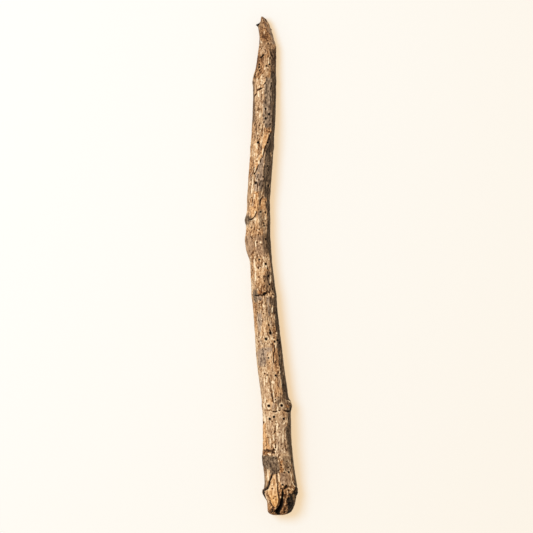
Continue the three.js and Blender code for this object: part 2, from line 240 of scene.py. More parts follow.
# Layers of cells: a seed, their size around and along, and how far from a cell's edge the gap
# beside it is full and how far from it the gap ends, as shares of a cell.
CELLS = {
    "flakes": (12, 1.4, 5.5, 0.02, 0.2),
    "grains": (13, 0.7, 2.3, 0.0, 0.22),
    "plates": (21, 2.2, 6.5, 0.02, 0.2),
    "grey grains": (22, 0.7, 2.2, 0.0, 0.25),
    "crumbs": (47, 0.8, 1.3, 0.0, 0.25),
}

# The values between which some layers begin to count and count in full.
COUNTS_BETWEEN = {
    "islands": (0.45, 0.6),
    "thin grey": (0.62, 0.75),
    "long line": (0.93, 0.995),
    "fissured": (-0.2, 0.25),
    "still": (-0.1, 0.45),
    "orange": (0.1, 0.5),
    "splits": (0.85, 0.98),
}

# A distance beyond any on the skin, and a divisor in place of zero.
FAR = 1e9
TINY = 1e-9

# Bark

# What is kept for the material at each place, each from 0 to 1: tone from brown to cream, grey
# outer bark, ashen patches, orange inner bark, dark, which is mostly painted shade in holes,
# cracks, the hollow and under the ledge and partly the dark colour of spurs, bare wood, rotten
# wood, and how calm the fine grain is.
MARKS = ("tone", "grey", "ash", "orange", "dark", "wood", "char", "calm")

# The fine grit on patches: how much each layer adds to the tone.
GRIT = {"crumb": 0.3, "gap": -0.15, "fibre": 0.12}

# Bark that has lost its outer skin: its tone, how much its cells and its long lines are bent by
# a warp, what each layer adds to its rise and its tone, and how orange it gets in places.
WORN_LEVEL = 0.55
WORN_WARP = 0.35
LONG_LINE_WARP = 0.08
WORN_RISE = {
    "flake": 0.14, "grain": 0.12, "layer": 0.12, "lumps": 0.08, "thread": 0.08, "fissure": -0.3,
    "gap": -0.08, "fine_gap": -0.05,
}
# Where flakes and grains rise the tone is lighter, and where fissures and gaps sink it is darker:
# partly the bark's own colour, partly painted light and shade.
WORN_TONE = {
    "flake": 0.08, "grain": 0.22, "layer": 0.05, "streak": 0.17, "thread": 0.18, "fissure": -0.38,
    "gap": -0.07, "fine_gap": -0.08,
}
ORANGE_STRENGTH = 0.5

# Still places have less of all that: how still the bark is everywhere, how much more so in its
# still patches, and how much more so further on, where that sets in between two heights. Then
# how much of the relief stillness takes away, and how calm it makes the finest grain.
LEAST_STILL = 0.12
STILLER = 0.38
STILL_STRETCHES = [(0.26, 215, 245), (0.16, 268, 285)]
FLAT_WHERE_STILL = 0.4
CALM_WHERE_STILL = 0.8

# The grey outer skin that is left: its thickness, its tone, how much its cells are bent by a
# warp, and what each layer adds to its rise and its tone.
GREY_THICKNESS = 0.18
GREY_LEVEL = 0.46
GREY_WARP = 0.3
GREY_RISE = {"ridges": 0.12, "plate": 0.1, "gap": -0.16, "fine_gap": -0.06}
# Here too ridges that rise are lighter and gaps that sink are darker: partly colour, partly painted
# light and shade.
GREY_TONE = {"ridges": 0.17, "grain": 0.12, "plate": 0.06, "gap": -0.16, "fine_gap": -0.1}

# How far the grey outer bark reaches from the right, as seen from above: height and x. Its dark
# band along the right side is partly painted shade.
GREY_REACH = np.array([
    [0, 10], [14, 14.6], [18, 14.2], [22, 13.4], [30, 12.4], [35, 10.8], [38, 9.8], [44, 9.4],
    [47, 8.4], [52, 8.0], [54, 9.4], [60, 9.6], [63, 9.0], [66, 9.6], [69, 8.8], [71, 7.6],
    [74, 6.9], [80, 6.0], [87, 5.6], [92, 4.7], [101, 3.6], [104, 3.8], [110, 3.4], [116, 2.4],
    [122, 1.9], [128, 1.4], [133, 1.6], [137, -0.2], [140, 0.5], [147, 0.0], [152, -0.5],
    [157, -1.8], [160, -3.2], [163, -3.6], [167, -3.0], [175, -2.5], [189, -2.7], [193, -4.2],
    [197, -5.2], [203, -4.5], [210, -3.9], [217, -3.7], [220.2, -3.5], [224, -2.2], [228.4, -0.7],
    [232, -0.5], [246, -0.2], [258, -0.4], [266, -0.2], [272, 0.2], [279, 1.2], [283, 3.4],
    [290, 3.0], [300, -1.0],
])

# In degrees: where the grey bark ends below, how far that end wanders, how its edges wobble and
# fade, the bearings between which the left side has none, and what stands for none there.
GREY_BELOW = 255
GREY_BELOW_WANDER = 40
EDGE_WOBBLE = 3
EDGE_WOBBLE_FINE = 5
GREY_FADE = 3
UPPER_SIDE_TO = 150
UNDERSIDE_FROM = 200
NO_GREY = -30

# Ashen islands on worn bark and thin places in the grey bark: how strong they are, how much of
# the fine noise is in their edges, and the heights between which the islands set in.
ISLAND_ASH = 0.6
ISLAND_FINE = 0.5
ISLANDS_ABOVE = (20, 40)
THIN_GREY = 0.6
THIN_GREY_FINE = 0.3

# How the bark's tone changes along the stick: height, and the change at its left, top and right.
# The changes are partly the bark's own tone and partly painted shade on its sides, most of all
# darkening the left edge toward the tip.
TONE_ALONG = np.array([
    [0, 0, 0, 0],
    [20, 0, 0.03, 0.04],
    [34, -0.08, 0.02, 0.07],
    [49, 0.05, 0, 0.08],
    [64, 0.04, 0.02, -0.03],
    [79, 0, 0.05, -0.02],
    [94, 0.08, 0, 0.05],
    [110, 0.08, 0.03, -0.13],
    [124, -0.02, -0.1, -0.08],
    [140, 0.06, -0.1, 0.03],
    [155, 0.02, 0, -0.05],
    [168, 0.06, -0.1, -0.08],
    [178, 0.05, 0.03, 0.03],
    [185, 0.02, -0.02, 0],
    [200, 0.03, -0.03, -0.02],
    [215, -0.07, 0.03, 0.09],
    [230, -0.11, -0.08, -0.04],
    [245, -0.2, 0.04, -0.02],
    [256, -0.04, 0.08, -0.03],
    [275, -0.24, -0.21, -0.22],
    [283, -0.22, -0.19, -0.12],
    [290, -0.1, -0.24, -0.08],
    [300, -0.3, -0.3, -0.2],
])

# Looks, patches and strokes

# What each look does. It draws marks toward a value, and the tone has fine grit on top. Shade
# changes the tone, mottle adds more grit to it, rise is in millimetres, and level is the rise
# that torn wood is cut down to.
LOOKS = {
    "grey": {"grey": 0.9, "ash": 0, "shade": -0.06},
    "umber": {"grey": 0.6, "shade": -0.08},
    "ash": {"ash": 0.95, "grey": 0, "orange": 0, "shade": -0.06},
    "dun": {"tone": 0.56, "mottle": 0.8, "ash": 0.85, "grey": 0.5, "orange": 0, "calm": 0.2},
    "straw": {"tone": 0.6, "mottle": 0.5, "orange": 0.15, "ash": 0.4, "grey": 0.15, "calm": 0.4},
    "tan": {"orange": 0.5, "shade": -0.14},
    "orange": {"orange": 0.95, "grey": 0, "ash": 0},
    "amber": {"orange": 1, "grey": 0, "ash": 0, "shade": -0.25},
    "peach": {"orange": 0.4, "grey": 0, "ash": 0, "shade": 0.08, "calm": 0.3},
    "pale": {
        "tone": 0.6, "mottle": 0.3, "orange": 0.2, "ash": 0.25, "grey": 0, "calm": 0.4, "rise": 0.1,
    },
    "plate": {"tone": 0.62, "orange": 0.8, "grey": 0, "ash": 0, "calm": 0.6, "rise": 0.35},
    "husk": {"tone": 0.5, "ash": 0.6, "orange": 0.4, "grey": 0, "calm": 0.5, "rise": 0.15},
    "knob": {"tone": 0.58, "grey": 1, "ash": 0, "orange": 0, "calm": 0.4},
    "flaky": {"tone": 0.48, "mottle": 1.1, "grey": 0.85, "ash": 0.3, "orange": 0, "rise": 0.3},
    # Cream is pale bark; the cream strokes that stand for glints are painted highlights.
    "cream": {"tone": 1.0, "orange": 0, "grey": 0, "ash": 0, "calm": 0.7, "rise": 0.15},
    # Groove, pit, crack and gash are sunk into the bark, and their darkness is partly their colour
    # and partly painted shade; the near-black of crack and gash is painted shade in the cut.
    "groove": {"tone": 0.14, "orange": 0.6, "dark": 0.08, "ash": 0, "rise": -0.35},
    "pit": {"tone": 0.1, "orange": 0.6, "dark": 0.3, "ash": 0, "rise": -0.45},
    "crack": {"tone": 0.04, "orange": 0.6, "dark": 0.6, "rise": -0.75},
    "gash": {"dark": 1, "rise": -1.3},
    "crumb": {"tone": 0.25, "orange": 0.55, "ash": 0, "dark": 0, "level": -0.1},
    "timber": {"tone": 0.34, "orange": 0.7, "ash": 0, "dark": 0, "level": 0.1},
    "lip": {"tone": 0.46, "orange": 0.4, "ash": 0.3, "dark": 0, "level": 0.3},
    "smoke": {"tone": 0.66, "char": 0.85, "dark": 0, "level": 0.25},
    "smooth": {"tone": 0.44, "ash": 0.45, "orange": 0.3, "grey": 0, "calm": 0.65, "rise": 0.1},
    "scale": {"tone": 0.44, "ash": 0.5, "orange": 0.3, "grey": 0, "calm": 0.6, "rise": 0.15},
    "rot": {"tone": 0.06, "orange": 0.7, "dark": 0.15, "level": 0.05},
    "char": {"tone": 0.32, "char": 1, "dark": 0, "level": 0.2},
    # Painted shade, drawn dark with char's colours: the shadowed outer rim of the torn end's lip,
    # its right rim and places near its bottom.
    "painted_shade": {"tone": 0.1, "char": 0.95, "dark": 0.2, "rise": 0.1},
}
LEVEL_GRIT = 0.5

# Patches seen from above: a look, and the height and x of each corner.
BARK_PATCHES = [
    ("tan", [293, -6.8, 292, -2, 286, 0.5, 284, -3, 285.6, -6.6]),
    ("ash", [292.6, -1.4, 292.6, 1.4, 283.4, 3.6, 283, 1.4, 287, 0.2]),
    ("umber", [280, -0.8, 280, 3.4, 266, 3.4, 266, 0, 272, -0.2]),
    ("tan", [277, -9, 275, -5, 266, -4, 262, -6, 262, -11]),
    ("dun", [262.8, -2.8, 262, 0.6, 251, 0.4, 250.8, -3.8, 258, -4]),
    # Along the left edge near the tip: darker, partly painted shade.
    ("tan", [281, -9, 281, -7, 276, -7.4, 271, -8, 269, -8.8, 269, -11]),
    ("ash", [251.5, -2, 251, -0.4, 247, -0.2, 247, -1.8]),
    ("pale", [256, -8, 256, -4.8, 246, -4.6, 244, -5.4, 244, -7.6, 250, -8.2]),
    ("dun", [251.4, -3.8, 251.2, 0.2, 246.4, 0.6, 232.6, 0.4, 232.4, -3.2, 236, -4.8, 244, -5]),
    # Along the left edge: darker brown-grey, partly painted shade.
    ("umber", [262, -11, 260, -9.6, 246, -9.2, 236, -9.6, 236, -11.4, 246, -11.2]),
    ("tan", [234, -4.5, 233.5, -1, 229.5, 0, 229.3, -4.4]),
    ("amber", [230.6, -2.2, 230.4, 0.4, 229.4, 0.2, 229.6, -2.2]),
    ("plate", [228.6, -4.3, 228.4, -2, 226, -1.9, 224, -2.4, 221.5, -3.2, 219.5, -3.9, 217, -4.5,
               214.8, -5.2, 213.6, -6.2, 212, -6.4, 210.4, -7.3, 208, -8.6, 205.6, -9.9, 206, -10.4,
               209.5, -9.3, 213.5, -8.6, 215.5, -7, 218, -6, 222, -5.2, 226, -5]),
    ("peach", [225.4, -10.2, 225, -7.2, 219, -7, 214, -8.4, 214, -10.6]),
    ("tan", [215.6, -13.6, 215, -11, 209, -10.8, 203, -11.4, 202.4, -13.8]),
    ("ash", [214.5, -6.4, 214.5, -4.7, 205, -4.9, 196, -5, 194, -7.5, 199, -8, 203, -9.6, 206, -9,
             210, -7.2]),
    ("ash", [199, -9.8, 199, -8, 194.3, -8, 194.3, -9.8]),
    ("umber", [201, -7.2, 201, -4.4, 194, -4.6, 194, -6.4, 198, -7.6]),
    ("umber", [193.5, -7, 193, -5.2, 190, -5.8, 188, -6.5, 184.5, -6, 184, -7.8, 188, -7.8]),
    ("orange", [194, -9.8, 194, -7.6, 187, -7.4, 180.5, -8.8, 179.2, -9.8, 178.3, -12, 184.5, -12.5,
                186, -10.2]),
    ("orange", [190.6, -5.4, 190.3, -2.6, 188.5, -2.6, 187, -3.9, 183.6, -4.2, 183.6, -5.9,
                187, -6]),
    ("umber", [183.5, -7.6, 183, -5.2, 176, -5, 172, -5.2, 172, -6.8, 178, -7.6]),
    ("pale", [99, -4.4, 99, 0.8, 95.6, 0.6, 95, -4]),
    ("pale", [78, -4.4, 78.4, -0.8, 70, 0.6, 70, -4.2]),
    ("pale", [62, -3.8, 62, 2.2, 57.6, 2.4, 55.6, 2, 49, 1.6, 48.6, -2.8, 57.6, -3.4]),
    ("pale", [56, 3.8, 56, 6.8, 48, 6.8, 48, 3.8]),
    ("tan", [157, -12, 157, -10.2, 142, -9.9, 142, -12.2]),
    ("tan", [155, -9, 155, -6.6, 151, -6.2, 150, -8.8]),
    ("tan", [172.5, -15.6, 172.5, -5, 167, -4.6, 167, -15.6]),
    ("smooth", [168.4, -9, 168, -5, 163, -3.4, 158, -2.4, 155, -3, 156, -8, 159, -9.6]),
    ("umber", [169, -5, 169, -2.4, 160, -2.8, 156.5, -2.2, 157.5, -5, 163, -5.6]),
    ("smooth", [167.8, -16, 167.8, -12.4, 165, -10.6, 161, -10, 156.6, -11.4, 154.4, -13, 157, -15,
                161, -16.4]),
    ("tan", [148, -4.6, 148, -1.5, 134, -1.5, 134, -7, 141, -5]),
    ("peach", [148, -8.4, 148, -4.6, 141, -4.8, 137, -5.8, 136.5, -9]),
    ("umber", [147, -2.6, 146, 0.4, 136, 1.2, 133.6, 1.2, 134, -2.6, 138, -3.6, 143, -4.4]),
    ("amber", [134.9, -8, 134.3, -5, 133.2, -4.8, 132.6, -7.8]),
    ("knob", [135.4, -10.7, 135.4, -9, 134.4, -8, 131.8, -7.6, 130, -7.6, 128, -7.8, 127.4, -9,
              129.6, -10.2, 131.4, -10.8]),
    ("ash", [131.4, -8, 131.4, -5.2, 129.4, -5, 128.8, -6.8, 128.6, -8]),
    ("ash", [131, -2.6, 131, -0.6, 121, 0, 119, -1.2, 126, -2.2]),
    ("grey", [130.4, -0.6, 130.4, 1.4, 121, 1.9, 121, 0.2]),
    ("tan", [128, -10.9, 127, -8.6, 121, -8.8, 113, -8.3, 112, -10]),
    ("peach", [117, -5, 117, -1.6, 110, -1.2, 110, -5]),
    ("ash", [121, -8.4, 121, -5.4, 116, -5.6, 110.2, -6.2, 110.4, -7.8, 115, -8.2]),
    ("tan", [114, 1.2, 113, 3, 101, 3.4, 101, 1.4]),
    ("ash", [101, -5.5, 101, 0.8, 98.6, 1, 98.2, -2.6, 92, -3, 89.5, -4.2, 89.5, -7.8, 98, -8.4]),
    ("tan", [102, 0.8, 102, 3.4, 94, 4.4, 88, 5, 88, 2.4, 96, 1]),
    ("tan", [92, 2, 93, 4.4, 86, 5, 84, 3.4, 88, 1.6]),
    ("tan", [82, 2.2, 82, 4.8, 75, 5.2, 70.8, 4.4, 72, 2, 78, 2.8]),
    ("umber", [73, 7, 71, 4.2, 67.4, 3.4, 64, 4.6, 64, 9, 66, 10.8, 69, 9.4]),
    ("straw", [59, 5, 59, 8.4, 48, 8.6, 37, 9.8, 37, 2.8, 46, 2.8, 50, 5]),
    ("orange", [56, -5, 55, -3.2, 47, -2.9, 41, -0.6, 39.3, -0.6, 39.3, -4.6]),
    ("tan", [38.2, -4.3, 38, -1, 37.2, 1.2, 36, 0.8, 35.8, -2.8, 36.4, -4.4]),
    ("amber", [38.4, -5.4, 38.3, -1.6, 37.4, -1.4, 36.4, -3, 36, -5.4]),
    ("umber", [36, 7, 36, 11, 30, 12, 26.4, 12, 26.6, 8, 31, 7.6]),
    ("flaky", [35.9, -5.4, 35.9, 3.2, 33, 4, 30.3, 5.2, 27.9, 5.5, 26.1, 5, 25.2, 3.8, 24.6, 1.4,
               23.8, 0.2, 25.6, -0.7, 27.9, -1.2, 28, -2.6, 29.8, -5.2]),
    ("amber", [33, 5.2, 33, 6.9, 27, 7.4, 25.6, 6.8, 25.6, 5.2, 29, 5.2]),
    ("umber", [29.4, -4.8, 28, -2.9, 20, -3, 16, -2.6, 16, -4.8]),
    ("husk", [26, 5.4, 26, 8, 20, 8.6, 17.6, 8.2, 17.6, 5.4]),
    ("scale", [25.7, 8, 25.7, 11.3, 22, 11.8, 18.4, 11.4, 18, 8.4, 20, 8.2, 24, 7.8]),
]
END_PATCHES = [
    ("crumb", [17.8, 5.2, 18.4, 9.5, 17.4, 13.9, 16.4, 14.6, 14.8, 13.2, 12.6, 12.3, 11.2, 11,
               11.6, 9.9, 14.6, 9.8, 15, 7.6, 15.4, 5.2]),
    ("timber", [26, 4.2, 26, 5.2, 20, 5.8, 16, 6.3, 12, 6.3, 9, 5.6, 7, 5.2, 10.4, 5.1, 13.3, 4.9,
                16, 4.4, 21, 4.0]),
    ("crumb", [14.6, 7.4, 15, 9.6, 12.4, 10, 10.5, 9.4, 8, 9.3, 5.5, 9.2, 2.8, 9.6, 1.2, 9, 0.6, 7,
               1.4, 5.5, 3, 6.4, 7.5, 7.3, 10, 7.4, 13, 7.3]),
    ("char", [13, 12.4, 14, 13.2, 14.4, 15.6, 12, 16.4, 7, 15.4, 3, 13.6, 0.8, 11.8, -1, 9.8,
              -1, 8.8, 1, 9.4, 3, 9.6, 6, 9.4, 9, 9.6, 11, 9.9, 11.6, 11.4]),
    ("smoke", [12.4, 12.4, 12.6, 13.6, 11, 16, 3.4, 15, 2.6, 12.2, 5, 12.8, 8, 13.2, 10.4, 12.7]),
    ("lip", [15.2, -6.5, 15.3, -2.2, 13, -1.7, 10, -0.9, 7.6, 0, 6, 0.3, 5.6, -3.5, 8.4, -4.5,
             10.4, -5.5, 12.4, -6.5]),
    ("timber", [6.6, -3, 6.2, 0.2, 5, 1, 3, 0.4, 2, -3]),
    ("rot", [5.8, 7.2, 5.2, 9.4, 2.8, 9.8, 1, 9.4, 0.8, 6.2, 3, 6.6]),
    ("rot", [4.4, 1.4, 3.2, 1.8, 1.2, 1.6, -1, 3, -1, -2.4, 1.4, -2, 2.6, -0.2]),
    ("rot", [1.6, 5.2, 1.2, 8, 1.6, 9.4, -1, 10, -1, 4]),
]
SPLIT_WEDGE = [23.6, 0.3, 24.6, 1.6, 25, 3, 22, 3.1, 19, 3.4, 17, 3.5, 15, 3.6, 13, 4, 11, 4.5,
               9, 4.7, 7.8, 4.5, 6.6, 3.8, 5.4, 3.1, 4.6, 2.3, 5.2, 1.5, 6.5, 0.7, 8, 0.2, 10, -0.5,
               12, -1.3, 13.5, -1.7, 15, -1.9, 16, -1.5, 18, -0.8, 20, -0.2, 22, 0.1]

# How ragged the edges of patches are, coarsely and finely, and for the patches on the bark and on
# the torn end, what share of that they have and the width over which their edges fade.
RAGGED = 0.5
RAGGED_FINE = 0.3
BARK_RAGGED = 1.1
BARK_EDGE = 0.5
END_RAGGED = 0.5
END_EDGE = 0.4

# Patches end where the upper side does: how much that line wavers, and between which sines of the
# bearing they fade.
UPPER_WAVER = 0.4
UPPER_FADE = (-0.3, -0.15)

# How far beyond the ends of a patch or stroke its rows are worked out.
MARGIN = 3

# Strokes seen from above, by look: a width, then the height and x of each place along it.
STROKES = {
    "pale": [(2.1, 279, -6.3, 276.9, -6.2), (2.2, 281.2, -4.8, 278.8, -3.5, 276.8, -3.1)],
    "knob": [(6.2, 177.6, -12.9, 176.8, -15.0)],
    "ash": [(1.3, 84, -7.3, 75, -6.1, 60, -5.2), (0.7, 2.7, 9, 1.7, 8.9)],
    # Cream strokes are pale flecks of bark, and some are painted highlights: the glints near
    # heights 229, 119 and 109, and the lit edge of the node's swelling near 68.
    "cream": [
        (0.4, 291, -4.1, 289, -4), (0.6, 285.5, -6.3, 283.5, -5.6), (0.7, 274.5, -1.6, 271, -1.5),
        (0.7, 268.9, -2.2, 268.3, -2.1), (0.8, 268.4, -3.9, 267.6, -3.7),
        (0.6, 264.6, -5.4, 262.5, -5.9), (0.6, 261.2, -5.1, 259.3, -6.2),
        (0.8, 257.9, -6.9, 256.9, -7.2), (0.6, 254.3, -7.4, 251, -7.2),
        (0.7, 246.2, -5, 244.6, -4.9), (0.8, 253.8, -5.1, 253, -5.2), (0.9, 242.4, -8.1, 241.6, -8),
        (1.0, 241, -6.5, 238.5, -6.9), (0.9, 233.8, -3.9, 232.8, -4), (0.9, 229, -1.3, 228.7, -0.9),
        (0.7, 223.4, -8.3, 219.6, -8.1), (0.8, 217.5, -10, 215.8, -9.9),
        (0.7, 219.9, -4.5, 216, -5.3), (0.9, 214.2, -7.8, 213.4, -8.6),
        (0.9, 212.8, -7.1, 210.8, -7.5), (0.8, 210, -9.6, 206, -9.9), (1.0, 205.8, -7.4, 205, -7.6),
        (0.8, 203.2, -10.8, 201, -11.1, 197, -11.6, 193, -12), (1.0, 192.5, -9.6, 190, -9.9),
        (0.8, 182.4, -9.4, 181.2, -9.3), (0.8, 180.4, -3.3, 177.6, -3.3),
        (0.6, 176.8, -7.4, 176.3, -6.8), (0.8, 171.2, -7.9, 170.2, -7.6),
        (1.2, 165.2, -9.4, 163.4, -9.5, 160.8, -9.5), (0.9, 164, -6.6, 163.4, -6.4),
        (1.3, 153.4, -9.7, 150, -9.6, 146, -9.2, 140.6, -9.2), (1.2, 149.8, -3.2, 148.9, -3),
        (0.7, 144, -0.3, 139.5, -0.4), (0.7, 131.5, -1.9, 130.5, -1.7),
        (0.7, 127.5, -1.6, 126.4, -1.6), (0.6, 126, 0.9, 121.5, 0.9), (0.8, 119.7, 0.8, 118.9, 0.8),
        (0.8, 117.6, -5.8, 117.2, -5.7), (0.7, 110.8, -1, 110.2, -0.8),
        (0.7, 109.6, 3.4, 108.8, 3.3), (0.7, 106.5, 0.8, 105.5, 0.7), (0.7, 104.7, 3.1, 100.5, 2.8),
        (0.8, 102.5, -5.2, 101, -5.2), (0.7, 86.3, -3.4, 85.8, -3.4), (0.8, 85.8, -2.3, 85.4, -2.2),
        (0.7, 86.4, 5.1, 85.4, 5.1), (0.8, 83.4, -2.6, 80, -2.7), (0.5, 81.5, -4, 80.6, -3.9),
        (1.8, 80.6, 1.3, 79.2, 1.3), (0.7, 82, 5.8, 77, 6.1), (0.6, 78.4, 0.8, 71.4, 1.6),
        (1.3, 70.6, -3.1, 66.5, -3.6, 63.5, -3.9), (0.6, 68.8, 2.3, 68.2, 2.1),
        (0.8, 69, 9.6, 68.2, 10.4, 67.2, 11.3), (0.9, 61.6, 2.4, 61.1, 2.7),
        (0.9, 62.3, 4.6, 61.8, 5.4), (1.0, 60.5, -3.8, 55.5, -3.4), (0.7, 55.4, 3.9, 51.8, 3.9),
        (0.6, 53, -2.8, 51.5, -2.5), (0.8, 56.8, 8.6, 54.9, 7.8), (0.8, 52.5, 7.3, 48, 7.3, 44, 7),
        (0.7, 46, -0.4, 43, -0.3), (1.1, 43, 1.5, 41, 2), (0.8, 42, 3.8, 38.2, 2.7),
        (0.5, 38.9, 8.1, 37.9, 8), (0.9, 37.2, -2.2, 36.6, 0), (0.7, 33.5, 4.3, 32, 4.9),
        (0.5, 27.1, 4.9, 26.8, 5.1), (1.5, 27.2, -1.8, 24, -1.9, 21, -1.9),
        (0.8, 25.4, 4.4, 20, 5.0), (0.8, 20.4, 12.9, 18.6, 13.7, 17, 14.4),
        (0.7, 25.8, 12.1, 22.4, 12.4),
        (0.8, 14.6, -3.6, 12.5, -3, 10.5, -2.3, 8.8, -1.5, 7.4, -1.2), (1.0, 16, 13, 15.4, 12.9),
        (0.7, 16.5, 10.7, 16, 11), (0.9, 11.6, 5.8, 10.8, 6), (0.6, 18.9, -2.2, 18.3, -2.1),
        (0.6, 15, 9.8, 12.2, 10), (0.5, 10.2, 8.9, 8.4, 8.7), (0.4, 7.4, 8.4, 6.4, 8.3),
    ],
    "groove": [
        (0.5, 291.5, -4.9, 287, -5.4), (0.5, 289.6, -3.2, 284.5, -3),
        (0.5, 285.4, -4.6, 281.5, -4.4), (0.5, 293.6, -2.9, 290.6, -2.2),
        (0.5, 276.2, -3.9, 276.6, -3, 276.2, -2.4), (0.5, 277, -4.6, 275.9, -5),
        (0.5, 251.3, -3.6, 247.5, -3.6), (0.45, 243.2, -3.3, 239, -3.3),
        (0.45, 235, -4.9, 232, -5, 226, -5.5), (0.5, 225.4, -7.3, 222, -7, 216, -7.4),
        (0.5, 199, -8, 195.2, -7.9), (0.6, 191.4, -11.2, 188.2, -11.1),
        (0.5, 174.5, -11.2, 171.8, -11.8), (0.45, 173, -9.9, 169, -9.9, 166, -9.9, 164.6, -9.4),
        (0.5, 167.4, -12.2, 165, -10.4, 161, -9.8, 157.6, -10.8, 155, -12.4),
        (0.5, 154, -9.6, 151.6, -8.7), (0.5, 149.5, -8.6, 147.5, -7.2),
        (0.5, 146.5, -1.9, 140.5, -1.6, 139, -0.9), (0.5, 129.6, -6.6, 126.5, -7),
        (0.4, 124.4, -5.6, 123.4, -4.6, 122.6, -5.2), (0.5, 96.5, -2.2, 95.9, -2),
        (0.5, 63.2, -4, 63.1, 0.2), (0.5, 54.5, 2.8, 50, 2.2, 46.5, 2.2, 44, 2.9, 41, 2.8),
        (0.6, 46, 8.1, 43, 8.5, 38, 9.1), (0.5, 46.9, -3, 46.4, -2.2, 47, -1.4),
        (0.5, 52, 8, 48.5, 8), (0.6, 69.6, 9.4, 68.8, 10.4, 67.8, 11.4),
        (0.5, 66.9, 9.4, 65.4, 10.8), (0.5, 61.5, 7.6, 59.4, 7.6),
        (0.5, 14.8, -2.2, 12, -1.8, 10, -1.1), (0.6, 24, 13, 20, 13.4, 17.5, 14.4),
        (0.5, 25.4, 11.2, 21, 11.4), (0.6, 20, 12.3, 17.6, 13), (0.5, 22, 1.6, 17.4, 1.2),
        (0.6, 11.8, 2, 9.6, 0.9), (0.5, 12, 3, 9, 2.6), (0.5, 16.5, 2.4, 13, 2.2),
        (0.6, 10, 7.7, 7.6, 7.6, 5.6, 7.8), (0.6, 6.6, 8.9, 4.8, 7.6),
        (0.8, 4.4, 9, 3, 8.6, 1.8, 8.1), (0.5, 9.6, 9.4, 7, 9.3, 5, 9.2),
        (0.7, 1.4, -1.4, 0.9, -0.4, 0.9, 1.2), (0.6, 24.2, 0.4, 24.4, 1.6),
        (0.6, 12.8, 8.2, 11.8, 8.6), (0.7, 29.2, 10.4, 28.6, 11), (0.5, 19, 13, 17, 12),
        (0.5, 29.4, -4.2, 27.6, -3, 26.8, -2.8), (0.5, 34.6, 4.9, 31, 5.4),
        (0.6, 30.8, 5.8, 28.6, 6.1), (0.6, 28, 11.6, 24, 12.8),
        (0.6, 14.8, 9.1, 12.4, 8.6, 10, 7.9), (0.5, 9.5, 8.9, 5, 9),
    ],
    "amber": [(1.4, 66, 8.4, 64.8, 10.2)],
    # The first rot stroke, on the outer side of the node's swelling, is painted shade beside it.
    "rot": [(1.7, 66.8, 11.4, 64.6, 11.8, 62.8, 10.8), (1.2, 56.6, -4.8, 55, -4.5, 53.4, -4.9)],
    # Painted shade on the torn end: the lip's shadowed outer rim, the right rim and places near the
    # bottom.
    "painted_shade": [
        (1.2, 15.7, -2.5, 15.1, -3.5), (3.8, 15, -3.9, 13.2, -4.4, 11.2, -3.7),
        (1.5, 11.4, -4, 8.8, -2.4), (2.8, 16.2, 15.0, 14.2, 15.3, 12, 15),
        (1.0, 12, 14.6, 8, 14.1, 4, 12.9), (0.8, 4, 0.8, 2.6, 1.2, 1.2, 0.2), (1.2, 13, 11, 12, 12),
    ],
    # The dark of crack strokes is painted shade in the cut.
    "crack": [
        (0.9, 230, -0.2, 228.4, -0.7, 226, -1.5, 224, -2.1, 222.2, -2.8, 220.2, -3.6, 217, -4.3,
         214.7, -4.9),
        (0.6, 213.4, -6, 211.6, -6.4), (0.7, 210.2, -7.4, 208, -8.2, 206, -9.2, 205.2, -9.9),
        (0.8, 256.5, -5.4, 255.9, -6.6, 255.1, -8.4), (0.8, 252.9, -8.6, 251, -10.2),
        (0.6, 260, -3.2, 258, -4.6), (0.7, 191.5, -4.8, 190, -5.7, 188.5, -6.4, 186, -6.6),
        (0.6, 177.3, -12.8, 177.6, -11.5, 178.4, -10.6, 179.2, -9.8, 181, -9, 182.6, -8.6),
        (1.2, 131.8, -9, 131.8, -7.4, 132.3, -6.3, 131.8, -5.1, 132.4, -4.5, 133.4, -3, 134, -1.8,
         133.6, -0.6),
        (0.7, 132.8, 0.6, 131.8, 1.6), (0.9, 111.4, -0.8, 110.6, -0.3, 109.4, -0.3),
        (0.5, 98.8, 2.3, 97.6, 1.5, 93, 1.5, 90.8, 1.7), (0.4, 83, -0.9, 80, -0.6, 76.5, -0.1),
        (0.55, 76.5, -0.1, 73, 0.5, 69.8, 1.0, 67.4, 1.7), (0.7, 62.6, 0.9, 62.2, 2.4, 62.7, 3.8),
        (0.6, 63.1, 4.6, 63.2, 6), (1.1, 63.3, 7.8, 62.6, 9, 62.2, 10.8),
        (1.5, 38.9, -4.6, 38.7, -1.6, 38.5, 0, 37.8, 1.9), (0.7, 39.8, 1, 39.4, 2.6),
        (1.0, 259.6, 0.3, 257.4, 0.2, 255.6, -0.3), (0.5, 252, 0.1, 248.5, -0.2),
        (0.9, 278.4, 0, 276.8, 0.3, 275.5, 1), (0.8, 275.2, -0.3, 273.8, -0.3),
        (0.8, 86.2, 4.4, 85.2, 4), (0.7, 39, -4.7, 34, -4.7), (0.7, 26.1, 7.4, 25.9, 8.8),
        (0.8, 26.3, 10.2, 26, 11.5), (0.9, 25.8, 3.3, 22, 3.5, 19, 3.9, 16, 4),
        (0.8, 16, 4, 13, 4.6, 10, 5, 8, 4.8, 6, 3.8, 4.6, 2.7),
        (0.8, 8.8, -0.5, 7.4, -0.2, 6, 0.4, 5, 1.1, 4.5, 2), (0.8, 16.6, 6, 16, 7.4),
        (0.8, 17.4, 11, 16.8, 12.2), (0.7, 15.3, 10.2, 14.8, 12), (0.8, 4.4, 8, 3.4, 8.9),
        (0.9, 15.8, -4.6, 15.3, -2.8), (0.7, 18.6, 6.7, 18.5, 7.3),
    ],
    # Gashes are deep cuts whose black is painted shade.
    "gash": [
        (2.2, 265.8, -9.5, 262.6, -10.4), (0.9, 298.2, -3.6, 296.4, -2.4),
